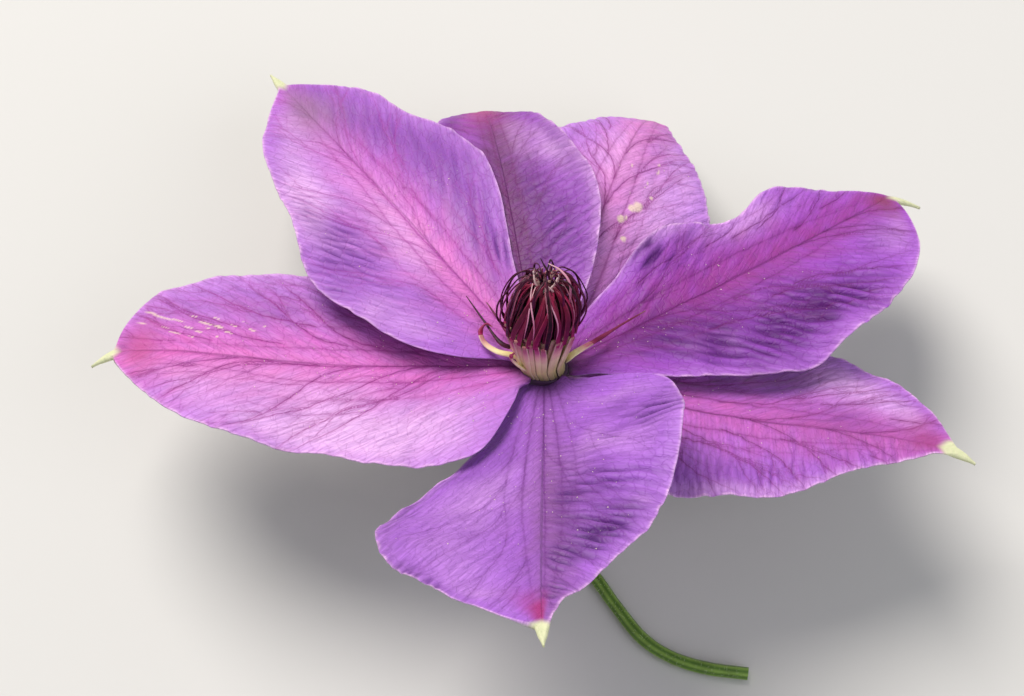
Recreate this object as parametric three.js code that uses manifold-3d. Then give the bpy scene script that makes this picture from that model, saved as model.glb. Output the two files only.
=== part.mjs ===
// A clematis flower, picked with a short length of its stalk and laid down.
// Millimetres, +Z up. It rests on the tips of its two back tepals and on its stalk, its face tilted back.
//
// The flower has a frame of its own, inside the part's: its origin is the middle of the receptacle, +Z is
// the flower's axis, the way it faces, and -Y points along the front tepal. Angles are in degrees.

import * as THREE from 'three';
import { mergeVertices } from 'three/addons/utils/BufferGeometryUtils.js';
import Module from 'manifold-3d';

const wasm = await Module();
wasm.setup();

// ---- Driving dimensions ----

const FACE_TILT = 22; // how far the flower's axis leans back from upright
const RECEPTACLE_HEIGHT = 27.7; // its middle, above the surface
const RECEPTACLE_RADIUS = 4.2;
const SEAT_GAP = 0.3; // between neighbouring pieces that touch in life

const TEPAL_THICKNESS = 0.7;
const TEPAL_START = RECEPTACLE_RADIUS + SEAT_GAP; // a claw's foot, from the flower's axis
const TEPAL_LAYER = 1.1; // from one layer of claws to the next
const CLAW_HALF_WIDTH = 2;
const BLADE_SHARE = 0.95; // of a tepal's length, the rest is the spur at its tip
const SPUR_HALF_WIDTH = 0.35;
const SPUR_FLARE = 14;
const TEPAL_ROWS = 24;
const TEPAL_COLUMNS = [-1, -0.85, -0.6, -0.3, 0, 0.3, 0.6, 0.85, 1];

const STALK_RADIUS = 1.15;
const STALK_SIDES = 10;
const STALK_STEPS = 30;

const DISC_TOP = 1.2; // the receptacle's flat top, under the stamens
const BOSS_BASE = DISC_TOP + SEAT_GAP;
const COLUMN_RADIUS = 2.2; // the carpels in the middle of the boss
const RING_INNER_RADIUS = COLUMN_RADIUS + SEAT_GAP;
const FILAMENT_TOP = 11.5;
const ANTHER_BASE = FILAMENT_TOP + 0.5;
const BOSS_SEED = 7;

// Each tepal: where its claw stands, its length, how it rises, how it turns aside and how it rolls. The
// lists run from its claw to its tip in equal steps. left and right are its two halves as seen from the
// centre looking out: the greatest half width, where along the blade that is, how blunt the outer end is
// (less is blunter), the fold up from the midrib, and the ripple of the margin as height, waves and phase.
// A notch draws the margin in at a share of the length, by a share of the width, over a reach, and with a
// negative share it is a lobe. claw is the claw's half width, where it isn't CLAW_HALF_WIDTH.
const TEPALS = [
  {
    name: 'tepal_front', azimuth: -92, layer: 1, length: 73,
    rise: [-4, 14, 14, 8], turn: [1, 1, 1, 1], roll: [0, 0, 0, 0],
    left: {
      width: 25.5, widest: 0.29, blunt: 1.55, fold: [26, 27, 1, -2], ripple: [0.9, 3.4, 0.1],
      notch: [0.63, -0.12, 0.08], claw: 3.4,
    },
    right: {
      width: 25.5, widest: 0.63, blunt: 0.75, fold: [-14, -11, 1, 8], ripple: [0.5, 3, 0.4],
      notch: [0.44, -0.05, 0.14], claw: 3.4,
    },
  },
  {
    name: 'tepal_right', azimuth: -17, layer: 0, length: 69.5,
    rise: [-6, -2, 1, -10], turn: [0, 3, 6, 3], roll: [0, 0, 0, 0],
    left: { width: 19.7, widest: 0.6, blunt: 0.9, fold: [-2, -5, -2, 0], ripple: [0.4, 3.5, 0.2] },
    right: {
      width: 19.4, widest: 0.33, blunt: 1.5, fold: [-2, -4, -4, 0], ripple: [0.6, 4, 0.5],
      notch: [0.59, -0.09, 0.16], claw: 3,
    },
  },
  {
    name: 'tepal_upper_right', azimuth: 30, layer: 1, length: 75,
    rise: [11, 5, 4, 0], turn: [0, 2, 5, 8], roll: [0, 0, 0, 0],
    left: {
      width: 16.2, widest: 0.57, blunt: 0.7, fold: [13, 23, 6, 0], ripple: [0.8, 2.8, 0.27],
      notch: [0.58, 0.27, 0.11],
    },
    right: {
      width: 22.8, widest: 0.6, blunt: 0.53, fold: [5, -7, 2, 0], ripple: [0.5, 4, 0],
      notch: [0.42, -0.12, 0.16],
    },
  },
  {
    name: 'tepal_back_right', azimuth: 71, layer: 0, length: 78,
    rise: [22, 17, -6, -60], turn: [0, 2, 2, 2], roll: [0, 0, 0, 0],
    left: { width: 18, widest: 0.55, blunt: 1, fold: [-6, -14, -10, 0], ripple: [0.3, 3, 0] },
    right: {
      width: 21, widest: 0.4, blunt: 1.4, fold: [-14, -22, -24, -20], ripple: [0.3, 3, 0.5],
      notch: [0.66, -0.06, 0.1],
    },
  },
  {
    name: 'tepal_back', azimuth: 107, layer: 1, length: 78,
    rise: [26, 17, -7, -68], turn: [-6, -8, -8, -8], roll: [-4, -10, -10, 0],
    left: { width: 15, widest: 0.55, blunt: 1, fold: [-4, -8, -6, 0], ripple: [0.3, 3, 0] },
    right: {
      width: 16.5, widest: 0.41, blunt: 1.45, fold: [5, 6, -6, -20], ripple: [0.4, 3, 0.3],
      notch: [0.57, 0.06, 0.15],
    },
  },
  {
    name: 'tepal_upper_left', azimuth: 139, layer: 3, length: 79,
    rise: [16, 12, 9, 8], turn: [-8, -12, -12, -13], roll: [0, 0, 0, 0],
    left: {
      width: 24, widest: 0.43, blunt: 0.9, fold: [7, 4, 8, 0], ripple: [0.7, 4, 0.3],
      notch: [0.59, 0.16, 0.16],
    },
    right: {
      width: 20.5, widest: 0.63, blunt: 0.68, fold: [11, 13, 8, 0], ripple: [0.4, 3, 0],
      notch: [0.73, 0.26, 0.12],
    },
  },
  {
    name: 'tepal_left', azimuth: 184, layer: 2, length: 73,
    rise: [0, 0, 5, -12], turn: [-4, -5, -8, -8], roll: [-2, -8, -6, 0],
    left: {
      width: 24.2, widest: 0.32, blunt: 0.64, fold: [5, 5, 5, 0], ripple: [0.7, 3.5, 0],
      notch: [0.45, 0.1, 0.12], claw: 3.2,
    },
    right: {
      width: 19.5, widest: 0.66, blunt: 0.4, fold: [8, 7, 2, 0], ripple: [0.4, 3, 0.6],
      notch: [0.45, -0.04, 0.08],
    },
  },
];

// The stalk's middle line, over the surface, with the receptacle straight above the origin.
const STALK_ROUTE = [
  [0, -0.75, RECEPTACLE_HEIGHT - 1.85],
  [0, -3.75, RECEPTACLE_HEIGHT - 9.3],
  [-1.5, -7.4, 10],
  [-3.5, -11.5, 4],
  [-2, -16.5, STALK_RADIUS],
  [3.5, -20.5, STALK_RADIUS],
  [8.5, -25.5, STALK_RADIUS],
  [12.5, -31.5, STALK_RADIUS],
  [17, -37.5, STALK_RADIUS],
  [22, -41, STALK_RADIUS],
  [28, -43, STALK_RADIUS],
  [35, -44, STALK_RADIUS],
];

// Stamens that have fallen away from the boss, from their feet to their tips, in the flower's frame.
const SPLAYED_STAMENS = [
  [[3.3, -0.2, 3.5], [5.2, 0.6, 4.8], [8.9, 3.8, 4.9], [13.2, 7.4, 5.3], [17.4, 10.4, 5.9]],
  [[-3.3, 0.3, 3.5], [-4.9, 0.4, 5.6], [-7.6, 1, 6.6], [-10.4, 5.5, 7.6], [-13.5, 10.5, 9.1]],
  [[-3.2, 0.8, 3.5], [-4.7, 1.5, 6], [-7.2, 4.6, 7.4], [-10, 8.8, 9.1]],
  [[-3.3, -0.6, 3.5], [-5.2, -0.8, 5.2], [-8, -0.6, 5.9], [-10.4, 1.2, 6.4], [-11.4, 3.4, 7.6],
    [-10.2, 4.9, 8.3], [-9, 4.6, 7.9]],
  [[-2.6, -2.4, 3], [-4.6, -3.6, 5.4], [-5.8, -3.9, 7.3], [-5.2, -3.9, 8.6]],
];

// ---- Materials ----

const finish = (color, roughness) => new THREE.MeshStandardMaterial({ color, roughness, metalness: 0 });
const TEPAL_FINISH = finish('#9a62c8', 0.6);
const STALK_FINISH = finish('#6f8f3c', 0.6);
const FILAMENT_FINISH = finish('#d9d3a0', 0.55);
const ANTHER_FINISH = finish('#5a1233', 0.5);
const STYLE_FINISH = finish('#d9b8a8', 0.6);

// ---- Helpers ----

const radians = THREE.MathUtils.degToRad;

function smooth(x) {
  const t = THREE.MathUtils.clamp(x, 0, 1);
  return t * t * (3 - 2 * t);
}

// The value at share s of a list of equally spaced values, on a Catmull-Rom curve through them.
function along(values, s) {
  const last = values.length - 1;
  const at = THREE.MathUtils.clamp(s, 0, 1) * last;
  const i = Math.min(Math.floor(at), last - 1);
  const f = at - i;
  const before = i > 0 ? values[i - 1] : 2 * values[0] - values[1];
  const after = i < last - 1 ? values[i + 2] : 2 * values[last] - values[last - 1];
  const [a, b] = [values[i], values[i + 1]];
  const cubic = 3 * (a - b) + after - before;
  return a + 0.5 * f * (b - before + f * (2 * before - 5 * a + 4 * b - after + f * cubic));
}

// Numbers from 0 to 1 by a fixed rule, so that the boss is the same each time it is made.
function seeded(seed) {
  let state = seed;
  return () => {
    state = (state * 16807) % 2147483647;
    return state / 2147483647;
  };
}

function solid(geometry) {
  const bare = geometry.clone();
  bare.deleteAttribute('normal');
  bare.deleteAttribute('uv');
  const merged = mergeVertices(bare);
  return new wasm.Manifold(new wasm.Mesh({
    numProp: 3,
    vertProperties: merged.attributes.position.array,
    triVerts: new Uint32Array(merged.index.array),
  }));
}

// Joins geometries that grow into each other in one body. The largest outer shell is the body: a hollow
// sealed between its strands is filled, and a scrap that touches nothing is dropped.
function fused(geometries) {
  const joined = geometries.map(solid).reduce((sum, piece) => sum.add(piece));
  const shells = joined.decompose();
  const body = shells.reduce((best, shell) => (shell.volume() > best.volume() ? shell : best));
  const { vertProperties, triVerts } = body.getMesh();
  return new THREE.BufferGeometry()
    .setAttribute('position', new THREE.BufferAttribute(new Float32Array(vertProperties), 3))
    .setIndex(new THREE.BufferAttribute(new Uint32Array(triVerts), 1));
}

function piece(name, geometry, material) {
  const mesh = new THREE.Mesh(geometry, material);
  mesh.name = name;
  return mesh;
}

// A body turned about +Z. The profile lists radius and height.
function turned(profile, segments) {
  const points = profile.map(([radius, height]) => new THREE.Vector2(radius, height));
  return new THREE.LatheGeometry(points, segments).rotateX(Math.PI / 2);
}

// ---- Tepals ----

// Half the width of one side: a blade that swells from its claw and closes towards its end, and past
// that a conical spur.
function halfWidth(side, s) {
  const k = THREE.MathUtils.clamp(s / BLADE_SHARE, 0, 1);
  const swell = side.blunt * side.widest / (1 - side.widest);
  const [at, depth, reach] = side.notch ?? [0, 0, 1];
  const drawnIn = 1 - depth * Math.exp(-(((s - at) / reach) ** 2));
  const blade = side.width * (k / side.widest) ** swell * ((1 - k) / (1 - side.widest)) ** side.blunt;
  const spur = (SPUR_HALF_WIDTH + SPUR_FLARE * (1 - s)) * smooth((s - 0.5) / 0.3);
  return Math.hypot(blade * drawnIn, spur) + (side.claw ?? CLAW_HALF_WIDTH) * (1 - smooth(s / 0.25));
}

// The way the midrib runs at share s of its length.
function midribDirection(tepal, s) {
  const rise = radians(along(tepal.rise, s));
  const turn = radians(along(tepal.turn, s));
  return new THREE.Vector3(Math.cos(rise) * Math.cos(turn), Math.cos(rise) * Math.sin(turn), Math.sin(rise));
}

// One row of points across the tepal, from its right margin to its left.
function tepalRow(tepal, s, centre) {
  const forward = midribDirection(tepal, s);
  const level = new THREE.Vector3(-forward.y, forward.x, 0).normalize();
  const roll = radians(along(tepal.roll, s));
  const across = level.applyAxisAngle(forward, roll);
  const up = new THREE.Vector3().crossVectors(forward, across);
  return TEPAL_COLUMNS.map((column) => {
    const side = column < 0 ? tepal.right : tepal.left;
    const out = Math.abs(column);
    const width = halfWidth(side, s) * out;
    const fold = radians(along(side.fold, s));
    const [height, waves, phase] = side.ripple;
    const fade = out ** 2 * smooth(s / 0.3) * smooth((1 - s) / 0.15);
    const ripple = height * fade * Math.sin(2 * Math.PI * (waves * s + phase));
    return centre.clone()
      .addScaledVector(across, Math.sign(column) * width * Math.cos(fold))
      .addScaledVector(up, width * Math.sin(fold) + ripple);
  });
}

// The middle surface, row by row from the claw. Rows stand closer together towards the tip.
function tepalRows(tepal) {
  const centre = new THREE.Vector3(TEPAL_START, 0, 0);
  const rows = [tepalRow(tepal, 0, centre)];
  const steps = 4;
  let last = 0;
  for (let row = 1; row <= TEPAL_ROWS; row += 1) {
    const t = row / TEPAL_ROWS;
    const s = t * (1.35 - 0.35 * t);
    for (let step = 0; step < steps; step += 1) {
      const middle = last + (s - last) * (step + 0.5) / steps;
      centre.addScaledVector(midribDirection(tepal, middle), tepal.length * (s - last) / steps);
    }
    rows.push(tepalRow(tepal, s, centre));
    last = s;
  }
  return rows;
}

function tepalGeometry(tepal) {
  const rows = tepalRows(tepal);
  const lastRow = rows.length - 1;
  const lastColumn = TEPAL_COLUMNS.length - 1;
  const count = rows.length * TEPAL_COLUMNS.length;
  const upper = (row, column) => row * TEPAL_COLUMNS.length + column;
  const under = (row, column) => upper(row, column) + count;
  const positions = new Float32Array(count * 6);
  const clip = (i, last) => THREE.MathUtils.clamp(i, 0, last);

  rows.forEach((points, row) => points.forEach((point, column) => {
    const onward = rows[clip(row + 1, lastRow)][column].clone().sub(rows[clip(row - 1, lastRow)][column]);
    const aside = points[clip(column + 1, lastColumn)].clone().sub(points[clip(column - 1, lastColumn)]);
    const half = onward.cross(aside).normalize().multiplyScalar(TEPAL_THICKNESS / 2);
    point.clone().add(half).toArray(positions, 3 * upper(row, column));
    point.clone().sub(half).toArray(positions, 3 * under(row, column));
  }));

  const faces = [];
  for (let row = 0; row < lastRow; row += 1) {
    for (let column = 0; column < lastColumn; column += 1) {
      const corners = [[row, column], [row + 1, column], [row + 1, column + 1], [row, column + 1]];
      const [a, b, c, d] = corners.map((corner) => upper(...corner));
      const [e, f, g, h] = corners.map((corner) => under(...corner));
      faces.push(a, b, c, a, c, d, e, g, f, e, h, g);
    }
  }
  const margin = [];
  for (let row = 0; row < lastRow; row += 1) margin.push([row, 0]);
  for (let column = 0; column < lastColumn; column += 1) margin.push([lastRow, column]);
  for (let row = lastRow; row > 0; row -= 1) margin.push([row, lastColumn]);
  for (let column = lastColumn; column > 0; column -= 1) margin.push([0, column]);
  margin.forEach((from, i) => {
    const to = margin[(i + 1) % margin.length];
    faces.push(under(...from), under(...to), upper(...to), under(...from), upper(...to), upper(...from));
  });
  return new THREE.BufferGeometry()
    .setAttribute('position', new THREE.BufferAttribute(positions, 3))
    .setIndex(faces);
}

function tepalPiece(tepal) {
  const mesh = piece(tepal.name, tepalGeometry(tepal), TEPAL_FINISH);
  mesh.rotation.z = radians(tepal.azimuth);
  mesh.position.z = tepal.layer * TEPAL_LAYER;
  return mesh;
}

// ---- Stalk and receptacle ----

function stemPiece() {
  const receptacle = turned([
    [0, -5.2], [1.3, -5], [2, -3.6], [3.4, -1.8], [RECEPTACLE_RADIUS, -1],
    [RECEPTACLE_RADIUS, DISC_TOP], [0, DISC_TOP],
  ], 24);
  receptacle.rotateX(-radians(FACE_TILT)).translate(0, 0, RECEPTACLE_HEIGHT);
  const route = new THREE.CatmullRomCurve3(STALK_ROUTE.map((point) => new THREE.Vector3(...point)));
  const section = new THREE.Shape();
  for (let side = 0; side < STALK_SIDES; side += 1) {
    const angle = 2 * Math.PI * side / STALK_SIDES;
    const corner = [STALK_RADIUS * Math.cos(angle), STALK_RADIUS * Math.sin(angle)];
    if (side === 0) section.moveTo(...corner);
    else section.lineTo(...corner);
  }
  const stalk = new THREE.ExtrudeGeometry(section, { extrudePath: route, steps: STALK_STEPS });
  return piece('stem', fused([receptacle, stalk]), STALK_FINISH);
}

// ---- Boss ----

// A tapered strand of lozenge section along a route. across is the way its broad side lies.
function strand(route, across, halfWidth, halfDepth, steps = 5) {
  const curve = new THREE.CatmullRomCurve3(route.map((point) => new THREE.Vector3(...point)));
  const positions = [];
  for (let step = 0; step <= steps; step += 1) {
    const t = step / steps;
    const centre = curve.getPoint(t);
    const forward = curve.getTangent(t);
    const broad = across.clone().addScaledVector(forward, -across.dot(forward)).normalize();
    const deep = new THREE.Vector3().crossVectors(forward, broad);
    const taper = 1 - 0.55 * t ** 3;
    broad.multiplyScalar(halfWidth * taper);
    deep.multiplyScalar(halfDepth * taper);
    [broad, deep, broad.clone().negate(), deep.clone().negate()].forEach((offset) => {
      positions.push(...centre.clone().add(offset).toArray());
    });
  }
  const faces = [0, 2, 1, 0, 3, 2];
  for (let step = 0; step < steps; step += 1) {
    for (let corner = 0; corner < 4; corner += 1) {
      const a = 4 * step + corner;
      const b = 4 * step + (corner + 1) % 4;
      faces.push(a, b, b + 4, a, b + 4, a + 4);
    }
  }
  const end = 4 * steps;
  faces.push(end, end + 1, end + 2, end, end + 2, end + 3);
  return new THREE.BufferGeometry()
    .setAttribute('position', new THREE.BufferAttribute(new Float32Array(positions), 3))
    .setIndex(faces);
}

// A ring of strands. The profile lists radius and height. Each strand stands at its own angle, bulges
// its own way and leans aside a little towards its tip.
function whorl({ count, profile, halfWidth, halfDepth, scatter, random }) {
  return Array.from({ length: count }, (_, i) => {
    const angle = 2 * Math.PI * (i + scatter * (random() - 0.5)) / count;
    const bulge = 1 + 0.5 * scatter * (random() - 0.5) * 0.3;
    const lean = scatter * (random() - 0.5) * 0.5;
    const route = profile.map(([radius, height], step) => {
      const share = step / (profile.length - 1);
      const at = angle + lean * share ** 2;
      const reach = radius * (1 + (bulge - 1) * Math.sin(Math.PI * share));
      return [reach * Math.cos(at), reach * Math.sin(at), height];
    });
    const across = new THREE.Vector3(-Math.sin(angle), Math.cos(angle), 0);
    return strand(route, across, halfWidth, halfDepth);
  });
}

function filamentPiece(random) {
  const core = turned([
    [RING_INNER_RADIUS, BOSS_BASE], [3.5, BOSS_BASE], [3.8, 5], [4.5, 8], [5.1, FILAMENT_TOP - 0.5],
    [RING_INNER_RADIUS, FILAMENT_TOP - 0.5], [RING_INNER_RADIUS, BOSS_BASE],
  ], 24);
  const filaments = whorl({
    count: 20,
    profile: [[3.45, BOSS_BASE + 0.4], [3.5, 4.6], [4.6, 8], [5.7, FILAMENT_TOP]],
    halfWidth: 0.85,
    halfDepth: 0.5,
    scatter: 0.25,
    random,
  });
  const splayed = SPLAYED_STAMENS.map((route) => {
    const [foot, tip] = [route[0], route[route.length - 1]];
    const across = new THREE.Vector3(foot[1] - tip[1], tip[0] - foot[0], 0).normalize();
    return strand(route, across, 0.5, 0.4, 2 * route.length);
  });
  return piece('filaments', fused([core, ...filaments, ...splayed]), FILAMENT_FINISH);
}

function antherPiece(random) {
  const core = turned([
    [RING_INNER_RADIUS, ANTHER_BASE], [4.9, ANTHER_BASE], [5.3, 13.8], [5.1, 16.2], [4, 18.2],
    [RING_INNER_RADIUS, 18.4], [RING_INNER_RADIUS, ANTHER_BASE],
  ], 24);
  const upright = whorl({
    count: 20,
    profile: [[5.2, ANTHER_BASE + 0.3], [5.8, 13.8], [5.6, 16.5], [4.5, 18.8], [3.3, 19.6]],
    halfWidth: 0.6,
    halfDepth: 0.45,
    scatter: 0.6,
    random,
  });
  const arched = whorl({
    count: 13,
    profile: [[4.9, ANTHER_BASE + 0.6], [7, 14], [7.1, 17], [5.4, 19.8], [3.4, 21]],
    halfWidth: 0.45,
    halfDepth: 0.4,
    scatter: 0.9,
    random,
  });
  return piece('anthers', fused([core, ...upright, ...arched]), ANTHER_FINISH);
}

function pistilPiece(random) {
  const column = turned([
    [0, BOSS_BASE], [COLUMN_RADIUS, BOSS_BASE], [COLUMN_RADIUS, 16.5], [1.5, 18], [0, 18.4],
  ], 16);
  const styles = whorl({
    count: 9,
    profile: [[1.1, 16.6], [1.5, 18.4], [1.7, 19.8], [1.2, 20.9]],
    halfWidth: 0.4,
    halfDepth: 0.35,
    scatter: 0.7,
    random,
  });
  return piece('pistils', fused([column, ...styles]), STYLE_FINISH);
}

// ---- Assembly ----

const random = seeded(BOSS_SEED);
const flower = new THREE.Group();
flower.add(...TEPALS.map(tepalPiece));
flower.add(filamentPiece(random));
flower.add(antherPiece(random));
flower.add(pistilPiece(random));
flower.rotation.x = -radians(FACE_TILT);
flower.position.z = RECEPTACLE_HEIGHT;

const clematis = new THREE.Group();
clematis.add(flower, stemPiece());

// The part's origin is at the middle of its box, on the surface.
const box = new THREE.Box3().setFromObject(clematis, true);
const middle = box.getCenter(new THREE.Vector3());
clematis.position.set(-middle.x, -middle.y, -box.min.z);

export default clematis;
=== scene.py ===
import math

import bpy
import numpy as np
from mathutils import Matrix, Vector


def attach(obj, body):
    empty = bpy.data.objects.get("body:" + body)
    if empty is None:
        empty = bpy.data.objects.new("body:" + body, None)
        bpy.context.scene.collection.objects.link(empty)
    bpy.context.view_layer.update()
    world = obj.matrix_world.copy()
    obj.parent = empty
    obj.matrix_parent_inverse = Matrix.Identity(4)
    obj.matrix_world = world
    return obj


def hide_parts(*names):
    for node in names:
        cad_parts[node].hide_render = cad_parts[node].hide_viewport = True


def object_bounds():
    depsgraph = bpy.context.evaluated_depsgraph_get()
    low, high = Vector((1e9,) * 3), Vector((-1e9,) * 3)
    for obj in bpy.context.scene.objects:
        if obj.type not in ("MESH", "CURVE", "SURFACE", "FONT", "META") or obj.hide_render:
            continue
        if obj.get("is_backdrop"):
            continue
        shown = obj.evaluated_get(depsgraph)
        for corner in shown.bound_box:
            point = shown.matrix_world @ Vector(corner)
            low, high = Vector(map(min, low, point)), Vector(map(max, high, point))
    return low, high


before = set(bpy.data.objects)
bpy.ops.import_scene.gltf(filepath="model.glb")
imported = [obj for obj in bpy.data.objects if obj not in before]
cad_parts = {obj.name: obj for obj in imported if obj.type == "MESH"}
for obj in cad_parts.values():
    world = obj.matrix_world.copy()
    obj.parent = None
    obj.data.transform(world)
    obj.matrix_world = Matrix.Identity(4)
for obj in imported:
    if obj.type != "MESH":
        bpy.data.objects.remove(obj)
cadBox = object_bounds()
scene = bpy.context.scene

# The flower has a frame of its own: its origin is the middle of the receptacle, +Z is the way it faces
# and -Y points along the front tepal.
flower = {
    "middle": (2.71986, -1.41490, 27.88878),  # of the receptacle, in the part's frame
    "tilt": 22.0,  # the axis leans back this far from upright
    "seed": 11,
}


# Prints one line for a stage.
def say(text):
    print("clematis:", text, flush=True)


# Linear red, green, blue and alpha of an sRGB hex colour: each channel c is c/12.92 where it is dark,
# and ((c + 0.055) / 1.055) to the power 2.4 elsewhere.
def linear(code):
    channels = [int(code[i:i + 2], 16) / 255 for i in (1, 3, 5)]
    return tuple(c / 12.92 if c <= 0.04045 else ((c + 0.055) / 1.055) ** 2.4 for c in channels) + (1.0,)


# Adds one node with its settings and links, and gives back one of its outputs.
def addNode(tree, kind, inputs=None, output=0, **settings):
    made = tree.nodes.new("ShaderNode" + kind)
    for name, value in settings.items():
        setattr(made, name, value)
    for key, value in (inputs or {}).items():
        if isinstance(value, bpy.types.NodeSocket):
            tree.links.new(value, made.inputs[key])
        else:
            made.inputs[key].default_value = value
    return made.outputs[output] if made.outputs else made


# A new material with an empty node tree.
def newMaterial(name):
    material = bpy.data.materials.new(name)
    material.use_nodes = True
    material.node_tree.nodes.clear()
    return material, material.node_tree


# 0 below 0, 1 above 1 and 3x^2 - 2x^3 between.
def smooth(x):
    t = np.clip(x, 0, 1)
    return t * t * (3 - 2 * t)


# The value at a share of a list of equally spaced values or points, on a Catmull-Rom curve through them.
def through(values, share):
    values = np.asarray(values, float)
    last = len(values) - 1
    at = np.clip(np.asarray(share, float), 0, 1) * last
    i = np.minimum(at.astype(int), last - 1)
    f = at - i
    if values.ndim == 2:
        f = f[..., None]
    padded = np.concatenate([[2 * values[0] - values[1]], values, [2 * values[-1] - values[-2]]])
    a, b, c, d = padded[i], padded[i + 1], padded[i + 2], padded[i + 3]
    return b + 0.5 * f * (c - a + f * (2 * a - 5 * b + 4 * c - d + f * (3 * (b - c) + d - a)))


# A bumpy field of about -1 to 1: the sum of plane waves of about one wavelength, which run in every
# direction, or in a fan of spread degrees to each side of the x axis.
def waves(x, y, size, rng, spread=90.0, count=14):
    angles = np.radians(rng.uniform(-spread, spread, count))
    lengths = size * rng.uniform(0.7, 1.5, count)
    starts = rng.uniform(0, 2 * np.pi, count)
    total = np.zeros_like(x)
    for angle, length, start in zip(angles, lengths, starts):
        total += np.sin(2 * np.pi * (x * np.cos(angle) + y * np.sin(angle)) / length + start)
    return total / math.sqrt(count / 2)


# A soft patch of 1 at its middle: exp(-(((s - place) / reach)^2 + ((v - column) / spread)^2)).
def patch(s, v, place, column, reach, spread):
    return np.exp(-((s - place) / reach) ** 2 - ((v - column) / spread) ** 2)


# From the flower's frame in millimetres to the part's frame in metres: a turn of -tilt about X and a
# move to the receptacle's middle.
def placed(points):
    tilt = math.radians(flower["tilt"])
    x, y, z = points[..., 0], points[..., 1], points[..., 2]
    turned = [x, y * math.cos(tilt) + z * math.sin(tilt), z * math.cos(tilt) - y * math.sin(tilt)]
    return (np.stack(turned, -1) + np.array(flower["middle"])) * 0.001


# Makes a mesh object from vertices and a list of arrays of faces, each array with its own number of
# corners, puts it under the root body, hides its CAD node and says how many triangles it has.
def makePiece(name, points, faceArrays, node, material, values=None, flatUv=None):
    mesh = bpy.data.meshes.new(name)
    corners = np.concatenate([f.ravel() for f in faceArrays]).astype(np.int32)
    counts = np.concatenate([np.full(len(f), f.shape[1], np.int32) for f in faceArrays])
    starts = np.concatenate([[0], np.cumsum(counts)[:-1]]).astype(np.int32)
    mesh.vertices.add(len(points))
    mesh.vertices.foreach_set("co", points.astype(np.float32).ravel())
    mesh.loops.add(len(corners))
    mesh.loops.foreach_set("vertex_index", corners)
    mesh.polygons.add(len(counts))
    mesh.polygons.foreach_set("loop_start", starts)
    mesh.polygons.foreach_set("use_smooth", np.ones(len(counts), bool))
    for key, value in (values or {}).items():
        held = mesh.attributes.new(key, "FLOAT_VECTOR", "POINT")
        held.data.foreach_set("vector", value.astype(np.float32).ravel())
    if flatUv is not None:
        uv = mesh.uv_layers.new(name="surface")
        uv.data.foreach_set("uv", flatUv[corners].astype(np.float32).ravel())
    mesh.update(calc_edges=True)
    mesh.validate()
    mesh.materials.append(material)
    piece = bpy.data.objects.new(name, mesh)
    scene.collection.objects.link(piece)
    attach(piece, "root")
    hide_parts(node)
    say(f"{name}: {int((counts - 2).sum())} triangles")
    return piece


# What every tepal shares. left and right are its halves as seen from the centre looking out.
tepalMake = {
    "rows": 297, "columns": 149,
    "start": 4.5,  # from the flower's axis to the claw's foot
    "foot": 4.0,  # radius of the circle that the foot bends round
    "layer": 1.1,  # from one layer of claws to the next
    "claw": 2.0, "bladeShare": 0.95, "spur": 0.35, "spurFlare": 14.0,
    "sheet": 0.46,  # thickness at the midrib
    "rim": 0.16,  # thickness at the margin
    "crease": 1.0,  # how gently the halves meet at the midrib
    "veinReach": 2.2,  # how far from a vein the surface still knows of it
    "veinDepth": 0.06, "ribDepth": 0.16,
    "puff": 0.07,  # how far the skin stands up between veins
    "tremble": 0.045,  # how far the drawn lines waver
    # the main veins: place from the midrib, share of the length that they reach and how strong each is
    "mainVeins": [(0, 0.96, 1.0), (1, 0.9, 0.7), (-1, 0.9, 0.7), (2, 0.66, 0.4), (-2, 0.66, 0.4)],
    "steepest": 38,  # the largest angle of a lateral vein from the midrib
    # wavelength and height of each kind of unevenness
    "lumps": (11, 0.22), "crumple": (2.2, 0.045), "grain": (1.1, 0.016), "fringe": (3.2, 0.07),
    # where the surface begins to move, counted from the claw and from the end, and over how much of the
    # length. Nothing moves at the claw, where the layers lie close.
    "settle": (0.06, 0.2), "close": (0.05, 0.1),
    "margin": (0.72, 0.28),  # the column where the crimped margin begins, and its breadth
    "hookFrom": 0.925,  # the share where the end begins to bend
    "underRib": 0.32, "underVein": 0.12,  # how far ribs and veins stand out below
}
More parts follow.
